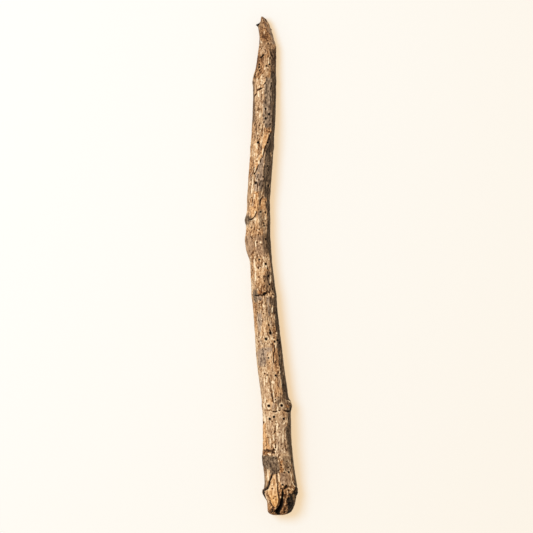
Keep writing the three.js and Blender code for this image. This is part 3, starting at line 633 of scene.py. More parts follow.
        (1.0, 274.9, -6.6, 275.6, -5.6, 276.9, -4.3), (1.8, 132.4, -4.8, 133.4, -3.1),
        (2.0, 14.6, 14.4, 13.2, 13.9), (1.2, 24.2, 0.2, 23, -0.2, 21, -0.9),
        (1.8, 21, -0.9, 19, -1.5, 17, -2.1, 15.4, -2.9), (1.3, 16.6, 15.5, 15, 14.9),
        (1.7, 18, 9.3, 17.2, 9, 16.4, 8.2), (1.9, 10.4, 10.3, 9.6, 10.5), (2.0, 7.8, 10.7, 6.6, 11),
        (1.0, 2.4, 8.1, 1.6, 8.1),
    ],
}

# The form of a stroke: the share of its width that is left at its ends, how fast it tapers to
# that, how uneven and how frayed its sides are, and the half widths between which it fades out.
TAPERED_WIDTH = 0.5
TAPER_RATE = 6
STROKE_UNEVEN = 0.35
STROKE_FRAY = 0.22
STROKE_CORE = 0.55
STROKE_EDGE = 1.5

# The pale, raised lip beside holes and dark strokes, whose paleness is a painted highlight: how far
# out its middle is, its width, and its tone and rise. A stroke has a lip if its dark is more than
# DARK_WITH_LIP.
LIP = {"at": 0.35, "width": 0.35, "tone": 0.1, "rise": 0.06}
DARK_WITH_LIP = 0.2

# Short cracks strewn all around: how many are drawn, the range of each value, the lean of a crack
# for its length and the spread of that, how many degrees its middle is off the line, and the
# height below which they are laid.
FISSURES = {
    "seed": 32, "count": 240, "heights": (30, 292), "lengths": (1.5, 8), "lean": (-0.1, 0.16),
    "kink": 2, "widths": (0.3, 0.5), "below": 266,
}
USUAL_RADIUS = 7.0

# Small brown pits: height, x and radius. Each is a short stroke, of this width for a radius of 1.
PITS = [
    (292.5, -3.6, 0.5), (290.2, -2.9, 0.4), (285.1, -1.8, 0.5), (283.1, -1.5, 0.5),
    (283.2, 0.3, 0.45), (281.4, -6.7, 0.5), (280.3, -5.9, 0.4), (272.6, -7.4, 0.4),
    (263.4, -4.5, 0.4), (262.0, -7.6, 0.4), (259.2, -3.6, 0.5), (252.8, -8.6, 0.45),
    (243.4, -9.8, 0.5), (240.6, -9.9, 0.5), (236.0, -4.2, 0.5), (234.7, -0.6, 0.5),
    (233.9, -6.8, 0.4), (231.8, -1.2, 0.5), (217.3, -6.2, 0.4), (213.1, -11.1, 0.4),
    (208.9, -10.4, 0.35), (212.4, -8.3, 0.6), (203.0, -4.6, 0.5), (201.3, -7.2, 0.5),
    (197.6, -5.0, 0.5), (190.6, -12.0, 0.4), (186.2, -11.9, 0.4), (172.5, -11.7, 0.5),
    (171.5, -6.9, 0.5), (168.5, -7.3, 0.5), (169.9, -10.6, 0.3), (167.8, -15.0, 0.5),
    (163.8, -8.5, 0.55), (162.6, -5.7, 0.5), (155.0, -2.7, 0.4), (152.3, -4.5, 0.35),
    (148.5, -7.8, 0.6), (149.2, -11.1, 0.5), (142.9, -7.4, 0.5), (143.3, -4.0, 0.45),
    (140.5, -3.8, 0.5), (136.8, -2.7, 0.4), (134.9, -4.0, 0.4), (132.0, -11.1, 0.45),
    (132.2, -2.0, 0.4), (129.1, -9.8, 0.5), (129.0, -6.4, 0.5), (127.0, -6.9, 0.5),
    (123.3, -8.9, 0.4), (121.8, -10.4, 0.5), (121.6, -8.4, 0.45), (121.0, -4.4, 0.4),
    (114.1, -1.3, 0.6), (113.8, 1.4, 0.6), (112.6, 2.2, 0.4), (109.3, 1.6, 0.4), (106.5, 1.9, 0.5),
    (106.6, -7.3, 0.4), (104.2, -7.4, 0.5), (104.7, -5.7, 0.35), (103.0, -1.8, 0.45),
    (99.5, -3.3, 0.5), (98.2, 2.1, 0.4), (92.4, 3.0, 0.6), (91.5, -1.0, 0.35), (88.5, 4.0, 0.5),
    (85.0, -4.0, 0.4), (83.0, -6.5, 0.5), (82.3, -3.4, 0.4), (83.7, 4.6, 0.4), (72.8, 5.8, 0.6),
    (71.0, 4.2, 0.4), (69.0, -2.4, 0.5), (56.6, 0.9, 0.5), (55.7, 2.9, 0.45), (53.8, 1.5, 0.4),
    (50.0, 5.4, 0.5), (49.6, -3.4, 0.4), (43.1, 0.5, 0.45), (42.8, 6.4, 0.4), (41.9, -3.4, 0.4),
    (40.9, 2.7, 0.4), (40.0, 6.9, 0.45), (45.8, 3.2, 0.4), (34.9, 1.6, 0.35), (33.9, -4.2, 0.5),
    (36.0, -3.3, 0.4), (32.4, 9.8, 0.45), (30.6, 5.6, 0.45), (29.0, 6.0, 0.4), (28.9, 10.8, 0.5),
    (27.3, 4.6, 0.3), (25.8, 8.2, 0.4), (25.3, 3.5, 0.4), (16.2, 0.4, 0.55), (17.8, 0.3, 0.35),
    (12.4, 8.4, 0.5), (10.3, 1.0, 0.4), (11.4, 2.2, 0.35), (5.0, 7.3, 0.5), (3.2, 8.7, 0.5),
]
PIT_WIDTH = 2.2

# Holes and spurs

# Beetle exit holes on the upper side: height, x and radius, and those with a pale, raised rim.
HOLES = [
    (270.8, -0.8, 0.5), (269.1, -7.4, 0.6), (270.7, -7.2, 0.5), (267.3, -7.0, 0.4),
    (269.7, -2.8, 0.45), (259.4, 0.3, 0.4), (257.6, 0.3, 0.4), (243.8, -3.1, 0.55),
    (240.6, -1.1, 0.6), (238.1, -3.1, 0.6), (228.3, 1.5, 0.6), (223.6, -7.8, 0.6),
    (223.6, -2.1, 0.45), (209.5, -2.1, 0.4), (204.9, -10.3, 0.55), (199.4, -9.0, 0.7),
    (197.8, -1.7, 0.6), (182.0, -6.3, 0.45), (181.7, -3.1, 0.55), (175.2, -4.2, 0.5),
    (173.7, -3.9, 0.5), (165.6, -3.2, 0.5), (153.4, -7.1, 0.5), (152.3, -12.4, 0.45),
    (150.7, -3.3, 0.6), (148.0, -2.0, 0.5), (143.6, -1.5, 0.55), (138.4, -0.7, 0.5),
    (135.8, 0.7, 0.5), (109.3, -0.3, 0.75), (105.8, -3.0, 0.7), (104.2, 2.4, 0.6),
    (103.5, 4.9, 0.7), (105.0, 3.9, 0.55), (95.4, 5.1, 0.45), (94.5, -1.5, 0.4), (87.9, 5.8, 0.5),
    (87.8, -7.6, 0.45), (84.0, 2.7, 0.5), (84.2, -2.3, 0.4), (58.0, -0.7, 0.65), (59.2, 1.7, 0.6),
    (58.1, 7.8, 0.55), (55.7, -4.3, 0.5), (53.5, -5.1, 0.5), (25.9, 10.9, 0.55), (18.7, 6.9, 0.45),
]
RIMMED_HOLES = [(65.8, -1.0, 0.68), (66.0, 6.4, 0.65), (69.5, 2.7, 0.35)]

# Holes strewn on the underside: how many, and the range of each value.
STREWN_HOLES = {
    "seed": 33, "count": 46, "heights": (30, 285), "bearings": (185, 355), "radii": (0.35, 0.65),
}

# The form of a hole, in radii: how far out it is worked out, where its floor, its mouth and its
# dark end, where its lip and its rim lie, how wide the rim is, how deep the hole is, and how much
# the grit makes its edge uneven. HOLE_DEEPER is added to its depth. Its middle is a strip of
# HOLE_STRIP.
HOLE = {
    "reach": 4, "floor": 0.75, "mouth": 1.2, "dark": 1.5, "lip": 1.4, "rim": 2, "rim width": 0.6,
    "depth": 2.2, "grit": 0.48,
}
HOLE_DEEPER = 0.4
HOLE_STRIP = 0.01
RIM_STRENGTH = 0.7

# Dark splinters and buds that stand out at the edge: height, bearing, rise, length and breadth.
SPURS = [
    (294.9, 175, 2.1, 0.9, 0.8),
    (292.2, 4, 0.7, 0.5, 0.5),
    (63.4, 12, 0.2, 0.9, 0.8),
]

# How far from a spur its rows are worked out, how pointed it is, and between which multiples of
# its length and breadth its dark ends.
SPUR_MARGIN = 5
SPUR_POWER = 1.5
SPUR_DARK = (1.2, 2.2)

# The torn thick end

# The ledge that the bark ends in: its height by bearing.
LEDGE = np.array([
    [0, 14.0], [20, 15.6], [50, 17.2], [75, 18.2], [90, 17.6], [130, 15.6], [150, 15.2],
    [180, 14.6], [210, 12.2], [250, 15], [300, 13], [340, 15.4], [360, 14.0],
])

# How ragged the ledge is, over what height it fades, and how far below it its shade reaches.
LEDGE_RAGGED = 1.2
LEDGE_FADE = 0.3
LEDGE_SHADE = (0.3, 1.5)

# The torn wood below it: its rise and its tone, what each layer adds to them, its other marks,
# and how dark it is in the ledge's shade.
TORN_DEPTH = -0.3
TORN_RISE = {"torn": 0.3, "splits": -0.5, "fibre": 0.1}
TORN_LEVEL = 0.42
# The sunk splits are darker too: partly their colour, partly painted shade.
TORN_TONE = {"fibre": 0.35, "torn tone": 0.25, "splits": -0.5}
TORN_MARKS = {"grey": 0, "ash": 0, "orange": 0.5, "dark": 0, "wood": 0.2}
TORN_DARK = 0.8

# Its darkened lower right side: how dark it is, the heights between which it ends, its middle's
# bearing, and the cosines between which it spreads around from there.
TORN_CHAR = 0.8
CHARRED_BELOW = (8, 15)
CHARRED_BEARING = 320
CHARRED_SPREAD = (0.2, 0.7)

# The pale wedge of split wood: its edge, its rise and its tone, what each layer adds to them, how
# golden it is at its point, and how much less so above two heights, between which that changes.
WEDGE_RAGGED = 0.2
WEDGE_EDGE = 0.3
WEDGE_DEPTH = -0.1
WEDGE_RISE = {"fibre": 0.1, "wood streaks": 0.2}
WEDGE_LEVEL = 0.53
WEDGE_TONE = {"fibre": 0.25, "wood streaks": 0.5}
WEDGE_ORANGE = 0.9
WEDGE_PALER = 0.8
WEDGE_PALE = (9, 16)

# The rotted cavity: height, x, half its width and its depth.
CAVITY = np.array([
    [0.2, 4.4, 0.7, 1.0],
    [1.0, 4.2, 1.3, 4.0],
    [2.0, 3.4, 1.9, 5.4],
    [3.0, 4.0, 1.8, 5.6],
    [4.0, 4.7, 1.7, 5.4],
    [5.5, 5.6, 1.5, 5.0],
    [7.5, 6.2, 1.2, 4.4],
    [9.5, 6.5, 1.05, 3.4],
    [11.5, 6.8, 0.7, 2.6],
    [14.0, 6.9, 0.6, 1.8],
    [15.4, 6.9, 0.3, 0.6],
])

# The cavity's upper end, how ragged its edge is, how much wider it is in all, how round its sides
# are, the wall that is left below it, and the shares of its depth between which it gets dark, which
# is painted shade, and pale wood ends.
CAVITY_TOP = 16
CAVITY_RAGGED = 0.35
CAVITY_WIDER = 1.15
CAVITY_POWER = 0.75
CAVITY_WALL = 1.2
CAVITY_DARK = (0.02, 0.25)
CAVITY_ROTTEN = (0.1, 0.4)

# The torn face: where its middle is, how far that lies in, and how far the face lies in on the
# way from the middle, at 0, to the rim, at 1.
FACE_MIDDLE_X = -0.4
FACE_MIDDLE_Z = 6.8
FACE_DEPTH = 2.2
FACE_INSETS = np.array([[0, 2.1], [0.3, 1.7], [0.62, 0.9], [0.86, 0.3], [1.0, 0.0]])

# Its noises: a seed, the size of the patches, and the level that is cut through the noise. Then
# what is added to their coordinates, and what they add to the face's rise and tone.
FACE_NOISES = {"shaggy": (50, 1.3, 3.3), "coarse": (51, 3.2, 7.1)}
FACE_SHIFT = 9
FACE_RISE = {"shaggy": 0.7, "coarse": 0.9}
FACE_TONE = {"shaggy": 0.5, "coarse": 0.2}

# The face's tone, its other marks, where those of its rim set in, how wavy that line is, and how
# many places each way they are averaged over.
FACE_LEVEL = 0.45
FACE_ORANGE = 0.4
FACE_WOOD = 0.6
FACE_CHAR = 0.15
FACE_DARK_BELOW = 0.35
FACE_DARK_FADE = 0.3
FACE_RIM = (0.35, 0.75)
FACE_RIM_WAVER = 0.3
RIM_BLUR = {"dark": 6, "char": 12}

# All marks of the face's middle and of the tip.
MIDDLE_MARK = 0.2
TIP_MARK = 0.3

# Materials

# The colours of each kind of bark and wood, in values of 0 to 255, by tone.
BARK_COLOURS = {
    "worn": [
        (0.0, 62, 39, 24), (0.2, 120, 87, 60), (0.4, 178, 140, 104), (0.65, 212, 176, 138),
        (1.0, 255, 238, 208),
    ],
    "orange": [
        (0.0, 84, 48, 24), (0.25, 156, 106, 64), (0.5, 212, 158, 106), (1.0, 252, 214, 164),
    ],
    # The grey bark's colours are kept dark, which also paints the shade of the stick's right side,
    # where most of it lies.
    "grey": [(0.0, 36, 27, 20), (0.3, 74, 59, 46), (0.6, 116, 96, 77), (1.0, 184, 160, 134)],
    "ash": [(0.0, 64, 50, 41), (0.25, 127, 106, 90), (0.5, 175, 150, 129), (1.0, 226, 201, 176)],
    "wood": [
        (0.0, 104, 66, 38), (0.3, 184, 136, 92), (0.65, 232, 190, 144), (1.0, 252, 226, 188),
    ],
    "golden": [
        (0.0, 120, 74, 36), (0.35, 204, 146, 86), (0.7, 240, 190, 126), (1.0, 250, 214, 160),
    ],
    "char": [(0.0, 8, 4, 3), (0.3, 32, 23, 15), (0.65, 74, 57, 41), (1.0, 130, 106, 82)],
}
# The colour of the dark mark: mostly painted shade in holes, cracks, gashes, the hollow and under
# the ledge, and the dark colour of spurs.
SHADE_AND_DARK_COLOUR = (22, 11, 6)

# The finest grain: long fibres, and specks and chips that are shorter. For each, how long it is
# along the stick, how many go in a millimetre across, and how much it changes the tone.
FIBRE_SQUEEZE = 0.11
FIBRE_SCALE = 2.0
FIBRE_SWING = 2.2
CHIP_SQUEEZE = 0.48
CHIP_SCALE = 2.2
SPECK_SWING = 1.8
CHIP_SWING = 0.45
FINE_NOISE = {"Detail": 3.0, "Roughness": 0.6}

# How much of the finest grain's change of tone each mark takes away.
QUIET_MARKS = {"grey": 0.25, "wood": 0.5, "ash": 0.2, "calm": 0.8}

# How the bark and the floor take the light.
BARK_SHEEN = {"Roughness": 0.88, "Specular IOR Level": 0.25}
BARK_BUMP = {"Strength": 0.6, "Distance": 0.15 * MM}
# The floor glows warm by its emission, though it is no lamp: painted light that keeps its shadows
# light and warm.
FLOOR_LOOK = {
    "Base Color": (0.2, 0.45, 0.7, 1),
    "Emission Color": (1.0, 0.64, 0.32, 1),
    "Emission Strength": 0.78,
    "Roughness": 0.9,
    "Specular IOR Level": 0.1,
}

# Camera, floor and light, in metres

# The camera's distance from the height at which the photograph's scale holds, that height, and
# the width of its sensor in millimetres.
CAMERA_DISTANCE = 1.5
CAMERA_FOCUS_HEIGHT = 0.008
SENSOR = 36.0

FLOOR_HALF_SIDE = 3.0

LIGHT_PLACE = (-0.5, 0.22, 1.03)
LIGHT_SIZE = 0.6
LIGHT_POWER = 8.4
LIGHT_COLOUR = (0.955, 1.01, 1.05)
SURROUNDINGS_COLOUR = (1.0, 0.84, 0.62)
SURROUNDINGS_STRENGTH = 0.6


# Form of the bare stick

def smooth(t):
    """Eases from 0 to 1, level at both ends."""
    t = np.clip(t, 0, 1)
    return t * t * (3 - 2 * t)


def ramp(value, low, high):
    """0 below low, 1 above high, and smooth between."""
    return smooth((value - low) / (high - low))


def along(column, heights):
    """One of the stations' values at each height, on a smooth line that keeps to them."""
    known, values = STATIONS[:, 0], STATIONS[:, column]
    gradient = np.diff(values) / np.diff(known)
    before, after = gradient[:-1], gradient[1:]
    total = np.where(before * after > 0, before + after, 1.0)
    inner = np.where(before * after > 0, 2 * before * after / total, 0.0)
    slope = np.concatenate([gradient[:1], inner, gradient[-1:]])
    i = np.clip(np.searchsorted(known, heights) - 1, 0, len(known) - 2)
    span = known[i + 1] - known[i]
    t = np.clip((heights - known[i]) / span, 0, 1)
    start = values[i] + t * span * slope[i]
    end = values[i + 1] - (1 - t) * span * slope[i + 1]
    return start + (end - start) * smooth(t)


def section(heights):
    """Middle x, axis height, half width and half depth of the bare stick."""
    left, right = along(LEFT, heights), along(RIGHT, heights)
    return (left + right) / 2, along(AXIS, heights), (right - left) / 2, along(DEPTH, heights) / 2


def bearing_at(height, x):
    """The bearing of a place on the upper side that is seen from above at x."""
    middle, _, across, _ = section(np.asarray(height, float))
    return np.degrees(np.arccos(np.clip((x - middle) / across, -1, 1)))


def turn(start, end):
    """The shorter way around from one bearing to another, in degrees."""
    return (end - start + 180) % 360 - 180


def lump_rise(height, bearing, radius):
    """How far lumps and collars lift each place."""
    rise = np.zeros(np.broadcast(height, bearing).shape)
    for at, toward, high, length, breadth in LUMPS:
        around = np.radians(turn(toward, bearing)) * radius
        rise += high * np.exp(-((height - at) / length) ** 2 - (around / breadth) ** 2)
    for at, high, length in COLLARS:
        rise += high * np.exp(-((height - at) / length) ** 2)
    return rise


def bark_rise(height, bearing):
    """Waves and plates. They fade out at both ends, and where the outline is seen from above."""
    angle = np.radians(bearing)
    edge = EDGE_SHARE + (1 - EDGE_SHARE) * np.sin(angle) ** 2
    ends = ramp(height, 0, END_FADE) * (1 - ramp(height, LENGTH - TIP_FADE, LENGTH))
    waves = sum(high * np.sin(around * angle + 2 * np.pi * height / length + phase)
                for around, length, phase, high in WAVES)
    plates = sum(np.sin(around * angle + height / radian + phase)
                 for around, radian, phase in PLATE_WAVES)
    return (waves + PLATE_RISE * np.tanh(PLATE_STEEPNESS * plates)) * edge * ends


def torn_inset(bearing):
    """How far the torn end's rim is set back from the end of the stick."""
    angle = np.radians(bearing)
    slant = SLANT_INSET * ((1 - np.sin(angle)) / 2) ** SLANT_POWER
    under = np.maximum(0, -np.sin(angle))
    return slant + JAG_INSET * under * sum(np.sin(around * angle + phase) for around, phase in JAGS)


def rest_share(height, x):
    """How far a place on the underside is drawn down to the floor, from 0 to 1."""
    share = 0
    for at, at_x, length, breadth in REST_FLATS:
        reach = FLAT_REACH * np.exp(-((height - at) / length) ** 2 - ((x - at_x) / breadth) ** 2)
        share = np.maximum(share, reach)
    return np.minimum(share, 1)


# Noise

class Lattice:
    """A grid of unit cubes, each with a random number."""

    numbers = 256

    def __init__(self, seed):
        self.rng = np.random.default_rng(seed)
        self.order = self.rng.permutation(self.numbers)

    def split(self, places):
        """The cube that each place is in, and the place inside it."""
        cubes = [np.floor(v).astype(np.int32) for v in places]
        return cubes, [(v - c).astype(np.float32) for v, c in zip(places, cubes)]

    def number(self, cubes, steps):
        """The number of the cube that lies so many steps from each cube."""
        mixed = 0
        for cube, step in zip(cubes, steps):
            mixed = self.order[(mixed + cube + step) & (self.numbers - 1)]
        return mixed


class Noise(Lattice):
    """Gradient noise in three dimensions, from about -1 to 1."""

    gain = 1.6

    def __init__(self, seed):
        super().__init__(seed)
        ways = self.rng.normal(size=(self.numbers, 3))
        self.ways = (ways / np.linalg.norm(ways, axis=1, keepdims=True)).astype(np.float32)

    def __call__(self, *places):
        cubes, part = self.split(places)
        ease = [t * t * t * (t * (t * 6 - 15) + 10) for t in part]
        total = np.zeros(part[0].shape, np.float32)
        for corner in np.ndindex(2, 2, 2):
            steps = corner[::-1]
            way = self.ways[self.number(cubes, steps)]
            dot = sum(way[..., k] * (part[k] - steps[k]) for k in range(3))
            weight = 1.0
            for k in range(3):
                weight = weight * (ease[k] if steps[k] else 1 - ease[k])
            total += weight * dot
        return total * self.gain


class Cells(Lattice):
    """Random cells in three dimensions: how far each place is from its cell's edge, and the
    cell's own value from 0 to 1."""

    centres_between = (0.1, 0.9)

    def __init__(self, seed):
        super().__init__(seed)
        centres = self.rng.uniform(*self.centres_between, (self.numbers, 3))
        self.centres = centres.astype(np.float32)
        self.values = self.rng.uniform(0, 1, self.numbers).astype(np.float32)

    def __call__(self, *places):
        cubes, part = self.split(places)
        nearest = np.full(part[0].shape, FAR, np.float32)
        second = nearest.copy()
        value = np.zeros(part[0].shape, np.float32)
        for step in np.ndindex(3, 3, 3):
            steps = [k - 1 for k in step]
            number = self.number(cubes, steps)
            centre = self.centres[number]
            gap = sum((part[k] - steps[k] - centre[..., k]) ** 2 for k in range(3))
            closer = gap < nearest
            second = np.where(closer, nearest, np.minimum(second, gap))
            nearest = np.where(closer, gap, nearest)
            value = np.where(closer, self.values[number], value)
        return np.sqrt(second) - np.sqrt(nearest), value


def weighed(weights, layers, level=0):
    """A level plus each layer times its weight."""
    return sum((weight * layers[name] for name, weight in weights.items()), start=level)


def blend(values, target, mask):
    """Draws values toward a target by the mask's amount."""
    values += (target - values) * mask


class Skin:
    """The grid of places on the stick's skin, and what is known at each one."""

    def __init__(self):
        rows = int(round(LENGTH / ROW_STEP)) + 1
        heights = np.linspace(0, LENGTH, rows)
        bearings = np.arange(COLUMNS) * 360 / COLUMNS
        self.height, self.bearing = np.meshgrid(heights, bearings, indexing="ij")
        middle, axis, across, deep = (v[:, None] for v in section(heights))
        self.middle, self.axis, self.across, self.deep = middle, axis, across, deep
        self.radius = (across + deep) / 2
        self.angle = np.radians(self.bearing)
        self.x = middle + across * np.cos(self.angle)
        turned = self.angle + np.radians(GRAIN_TURN) * self.height
        self.grain = (self.radius * np.cos(turned), self.radius * np.sin(turned), self.height)
        self.upper = ramp(np.sin(self.angle) + UPPER_WAVER * self.noise("upper edge"), *UPPER_FADE)
        gap, crumb = self.cells("crumbs")
        layers = {"crumb": crumb, "gap": gap, "fibre": self.noise("fibre")}
        self.grit = weighed(GRIT, layers)
        self.uneven = self.noise("uneven")
        shape = self.height.shape
        self.rise = np.zeros(shape)
        self.marks = {name: np.zeros(shape) for name in MARKS}

    def noise(self, name):
        """A layer of noise, by its name in NOISES."""
        seed, around, length = NOISES[name]
        gx, gy, gz = self.grain
        return Noise(SEED + seed)(
            gx / around + NOISE_SHIFT, gy / around + NOISE_SHIFT, gz / length + NOISE_SHIFT
        )

    def cells(self, name, warp=0.0):
        """A layer of cells, by its name in CELLS and bent by a warp: the gaps between them, and
        each cell's own value from -0.5 to 0.5."""
        seed, around, length, full, none = CELLS[name]
        gx, gy, gz = self.grain
        edge, value = Cells(SEED + seed)(
            gx / around + NOISE_SHIFT + warp, gy / around + NOISE_SHIFT + warp,
            gz / length + NOISE_SHIFT,
        )
        return 1 - ramp(edge, full, none), value - 0.5

    def window(self, low, high):
        """The rows between two heights."""
        rows = self.height[:, 0]
        return slice(*np.searchsorted(rows, [low, high]))

    def paint(self, name, part, amount):
        """Raises a mark to at least amount on a part of the grid."""
        self.marks[name][part] = np.maximum(self.marks[name][part], amount)


def strip_distance(skin, part, places):
    """Distance over the skin to a line of places given by height and bearing, and how far along
    the line the nearest of it lies, from 0 to 1."""
    height = skin.height[part]
    radius = skin.radius[part]
    best = np.full(height.shape, FAR)
    share = np.zeros(height.shape)
    steps = len(places) - 1
    for i, (start, end) in enumerate(zip(places[:-1], places[1:])):
        around = np.radians(turn(start[1], skin.bearing[part])) * radius
        up = height - start[0]
        run = np.radians(turn(start[1], end[1])) * radius
        climb = end[0] - start[0]
        t = np.clip((around * run + up * climb) / (run ** 2 + climb ** 2), 0, 1)
        distance = np.hypot(around - t * run, up - t * climb)
        nearer = distance < best
        best = np.where(nearer, distance, best)
        share = np.where(nearer, (i + t) / steps, share)
    return best, share


def polygon_distance(height, x, outline):
    """Distance to an outline's edge, positive inside it."""
    best = np.full(height.shape, FAR)
    inside = np.zeros(height.shape, bool)
    for (h0, x0), (h1, x1) in zip(outline, np.roll(outline, -1, axis=0)):
        climb, run = h1 - h0, x1 - x0
        t = ((height - h0) * climb + (x - x0) * run) / (climb ** 2 + run ** 2)
        t = np.clip(t, 0, 1)
        best = np.minimum(best, np.hypot(height - h0 - t * climb, x - x0 - t * run))
        crosses = (h0 > height) != (h1 > height)
        side = x < x0 + (height - h0) * run / (climb or TINY)
        inside ^= crosses & side
    return np.where(inside, best, -best)


# Patches and strokes

def patch_mask(skin, corners, ragged, edge):
    """The rows that an outline seen from above covers, and how much each place lies in it."""
    outline = np.reshape(corners, (-1, 2)).astype(float)
    part = skin.window(outline[:, 0].min() - MARGIN, outline[:, 0].max() + MARGIN)
    distance = polygon_distance(skin.height[part], skin.x[part], outline)
    distance = distance + ragged[part]
    return part, ramp(distance, -edge / 2, edge / 2) * skin.upper[part]


def lay(skin, part, mask, look):
    """Gives part of the grid a look, as much as the mask says."""
    grit = skin.grit[part]
    tone = skin.marks["tone"][part]
    for name, value in LOOKS[look].items():
        if name == "tone":
            blend(tone, value + grit, mask)
        elif name == "shade":
            tone += value * mask
        elif name == "mottle":
            tone += value * grit * mask
        elif name == "rise":
            skin.rise[part] += value * mask
        elif name == "level":
            blend(skin.rise[part], value + LEVEL_GRIT * grit, mask)
        else:
            blend(skin.marks[name][part], value, mask)


def lay_patches(skin, patches, ragged, edge):
    """Lays each patch over those before it."""
    for look, corners in patches:
        part, mask = patch_mask(skin, corners, ragged, edge)
        lay(skin, part, mask, look)


def painted_highlight_lip(skin, part, beyond):
    """The pale, slightly raised lip beside a crack or hole, by distance beyond its edge: its
    paleness is a painted highlight.
    """
    lip = np.exp(-((beyond - LIP["at"]) / LIP["width"]) ** 2)
    skin.marks["tone"][part] += LIP["tone"] * lip
    skin.rise[part] += LIP["rise"] * lip


def draw_stroke(skin, look, width, places, frays):
    """Lays a look along a path of height and bearing, tapered at both ends and uneven."""
    heights = [place[0] for place in places]
    part = skin.window(min(heights) - MARGIN, max(heights) + MARGIN)
    distance, share = strip_distance(skin, part, places)
    from_end = np.clip(np.minimum(share, 1 - share) * TAPER_RATE, 0, 1)
    taper = TAPERED_WIDTH + (1 - TAPERED_WIDTH) * from_end
    half = width / 2 * taper * (1 + STROKE_UNEVEN * skin.uneven[part])
    frayed = distance + STROKE_FRAY * min(width, 1) * frays[part]
    # Dark strokes get a painted highlight beside them.
    if LOOKS[look].get("dark", 0) > DARK_WITH_LIP:
        painted_highlight_lip(skin, part, frayed - half * STROKE_EDGE)
    lay(skin, part, 1 - ramp(frayed, half * STROKE_CORE, half * STROKE_EDGE), look)


def draw_strokes(skin):
    """Draws every stroke and pit of the upper side."""
    frays = skin.noise("frays")
    for look, strokes in STROKES.items():
        for width, *path in strokes:
            places = [(h, float(bearing_at(h, x))) for h, x in zip(path[::2], path[1::2])]
            draw_stroke(skin, look, width, places, frays)
    for height, x, radius in PITS:
        bearing = float(bearing_at(height, x))
        ends = [(height + radius / 2, bearing), (height - radius / 2, bearing)]
        draw_stroke(skin, "pit", PIT_WIDTH * radius, ends, frays)


def strew_fissures(skin):
    """Draws short cracks at random all around the bark."""
    frays = skin.noise("frays")
    rng = np.random.default_rng(SEED + FISSURES["seed"])
    for _ in range(FISSURES["count"]):
        height, bearing = rng.uniform(*FISSURES["heights"]), rng.uniform(0, 360)
        length = rng.uniform(*FISSURES["lengths"])
        lean = np.degrees(rng.normal(*FISSURES["lean"]) * length / USUAL_RADIUS)
        kink = rng.normal(0, FISSURES["kink"])
        width = rng.uniform(*FISSURES["widths"])
        places = [(height, bearing), (height - length / 2, bearing - lean / 2 + kink),
                  (height - length, bearing - lean)]
        if height < FISSURES["below"]:
            draw_stroke(skin, "groove", width, places, frays)


# Bark

def lay_grey_bark(skin):
    """Marks the grey outer bark that is left, and ashen islands on the bark that lost it."""
    reach = np.interp(skin.height, GREY_REACH[:, 0], GREY_REACH[:, 1])
    fine = skin.noise("grey edge, fine")
    wobble = EDGE_WOBBLE * skin.noise("grey edge") + EDGE_WOBBLE_FINE * fine
    upper_edge = turn(skin.bearing, bearing_at(skin.height, reach)) + wobble
    lower_bearing = GREY_BELOW + GREY_BELOW_WANDER * skin.noise("grey below")
    lower_edge = -(turn(skin.bearing, lower_bearing) + 2 * wobble)
    grey_side = np.where(skin.bearing > UNDERSIDE_FROM, lower_edge, NO_GREY)
    grey_side = np.where(skin.bearing < UPPER_SIDE_TO, upper_edge, grey_side)
    cover = ramp(grey_side, -GREY_FADE, GREY_FADE)
    islands = ramp(skin.noise("islands") + ISLAND_FINE * fine, *COUNTS_BETWEEN["islands"])
    skin.marks["ash"] = ISLAND_ASH * islands * ramp(skin.height, *ISLANDS_ABOVE) * (1 - cover)
    thin = ramp(skin.noise("thin grey") + THIN_GREY_FINE * fine, *COUNTS_BETWEEN["thin grey"])
    skin.marks["grey"] = cover * (1 - THIN_GREY * thin)


def worn_bark(skin):
    """Rise and tone of the bark that has lost its outer skin: flakes, fissures and fibres."""
    warp = WORN_WARP * skin.noise("worn warp")
    gap, flake = skin.cells("flakes", warp)
    fine_gap, grain = skin.cells("grains", warp)
    names = ("streak", "thread", "layer", "lumps")
    layers = {name: skin.noise(name) for name in names}
    long_line = 1 - np.abs(skin.noise("long line") + LONG_LINE_WARP * warp)
    fissure = (ramp(long_line, *COUNTS_BETWEEN["long line"])
               * ramp(skin.noise("fissured"), *COUNTS_BETWEEN["fissured"]))
    layers.update(flake=flake, grain=grain, gap=gap, fine_gap=fine_gap, fissure=fissure)
    still = LEAST_STILL + STILLER * ramp(skin.noise("still"), *COUNTS_BETWEEN["still"])
    for share, low, high in STILL_STRETCHES:
        still = still + share * ramp(skin.height, low, high)
    skin.marks["calm"] = CALM_WHERE_STILL * still
    rise = weighed(WORN_RISE, layers)
    tone = weighed(WORN_TONE, layers, WORN_LEVEL)
    return (1 - FLAT_WHERE_STILL * still) * rise, WORN_LEVEL + (1 - still) * (tone - WORN_LEVEL)


def grey_bark(skin):
    """Rise and tone of the outer skin that is left: thin ridges along the grain."""
    warp = GREY_WARP * skin.noise("grey warp")
    gap, plate = skin.cells("plates", warp)
    fine_gap, grain = skin.cells("grey grains", warp)
    layers = {"ridges": skin.noise("ridges"), "plate": plate, "grain": grain, "gap": gap,
              "fine_gap": fine_gap}
    return weighed(GREY_RISE, layers, GREY_THICKNESS), weighed(GREY_TONE, layers, GREY_LEVEL)


def tone_change(skin):
    """How much lighter the bark is at each place than on the whole: partly its own tone, partly
    painted shade on its sides.
    """
    left, top, right = (
        np.interp(skin.height, TONE_ALONG[:, 0], TONE_ALONG[:, k]) for k in (1, 2, 3)
    )
    sideways = np.cos(skin.angle)
    return top + np.where(sideways > 0, right - top, left - top) * np.abs(sideways)


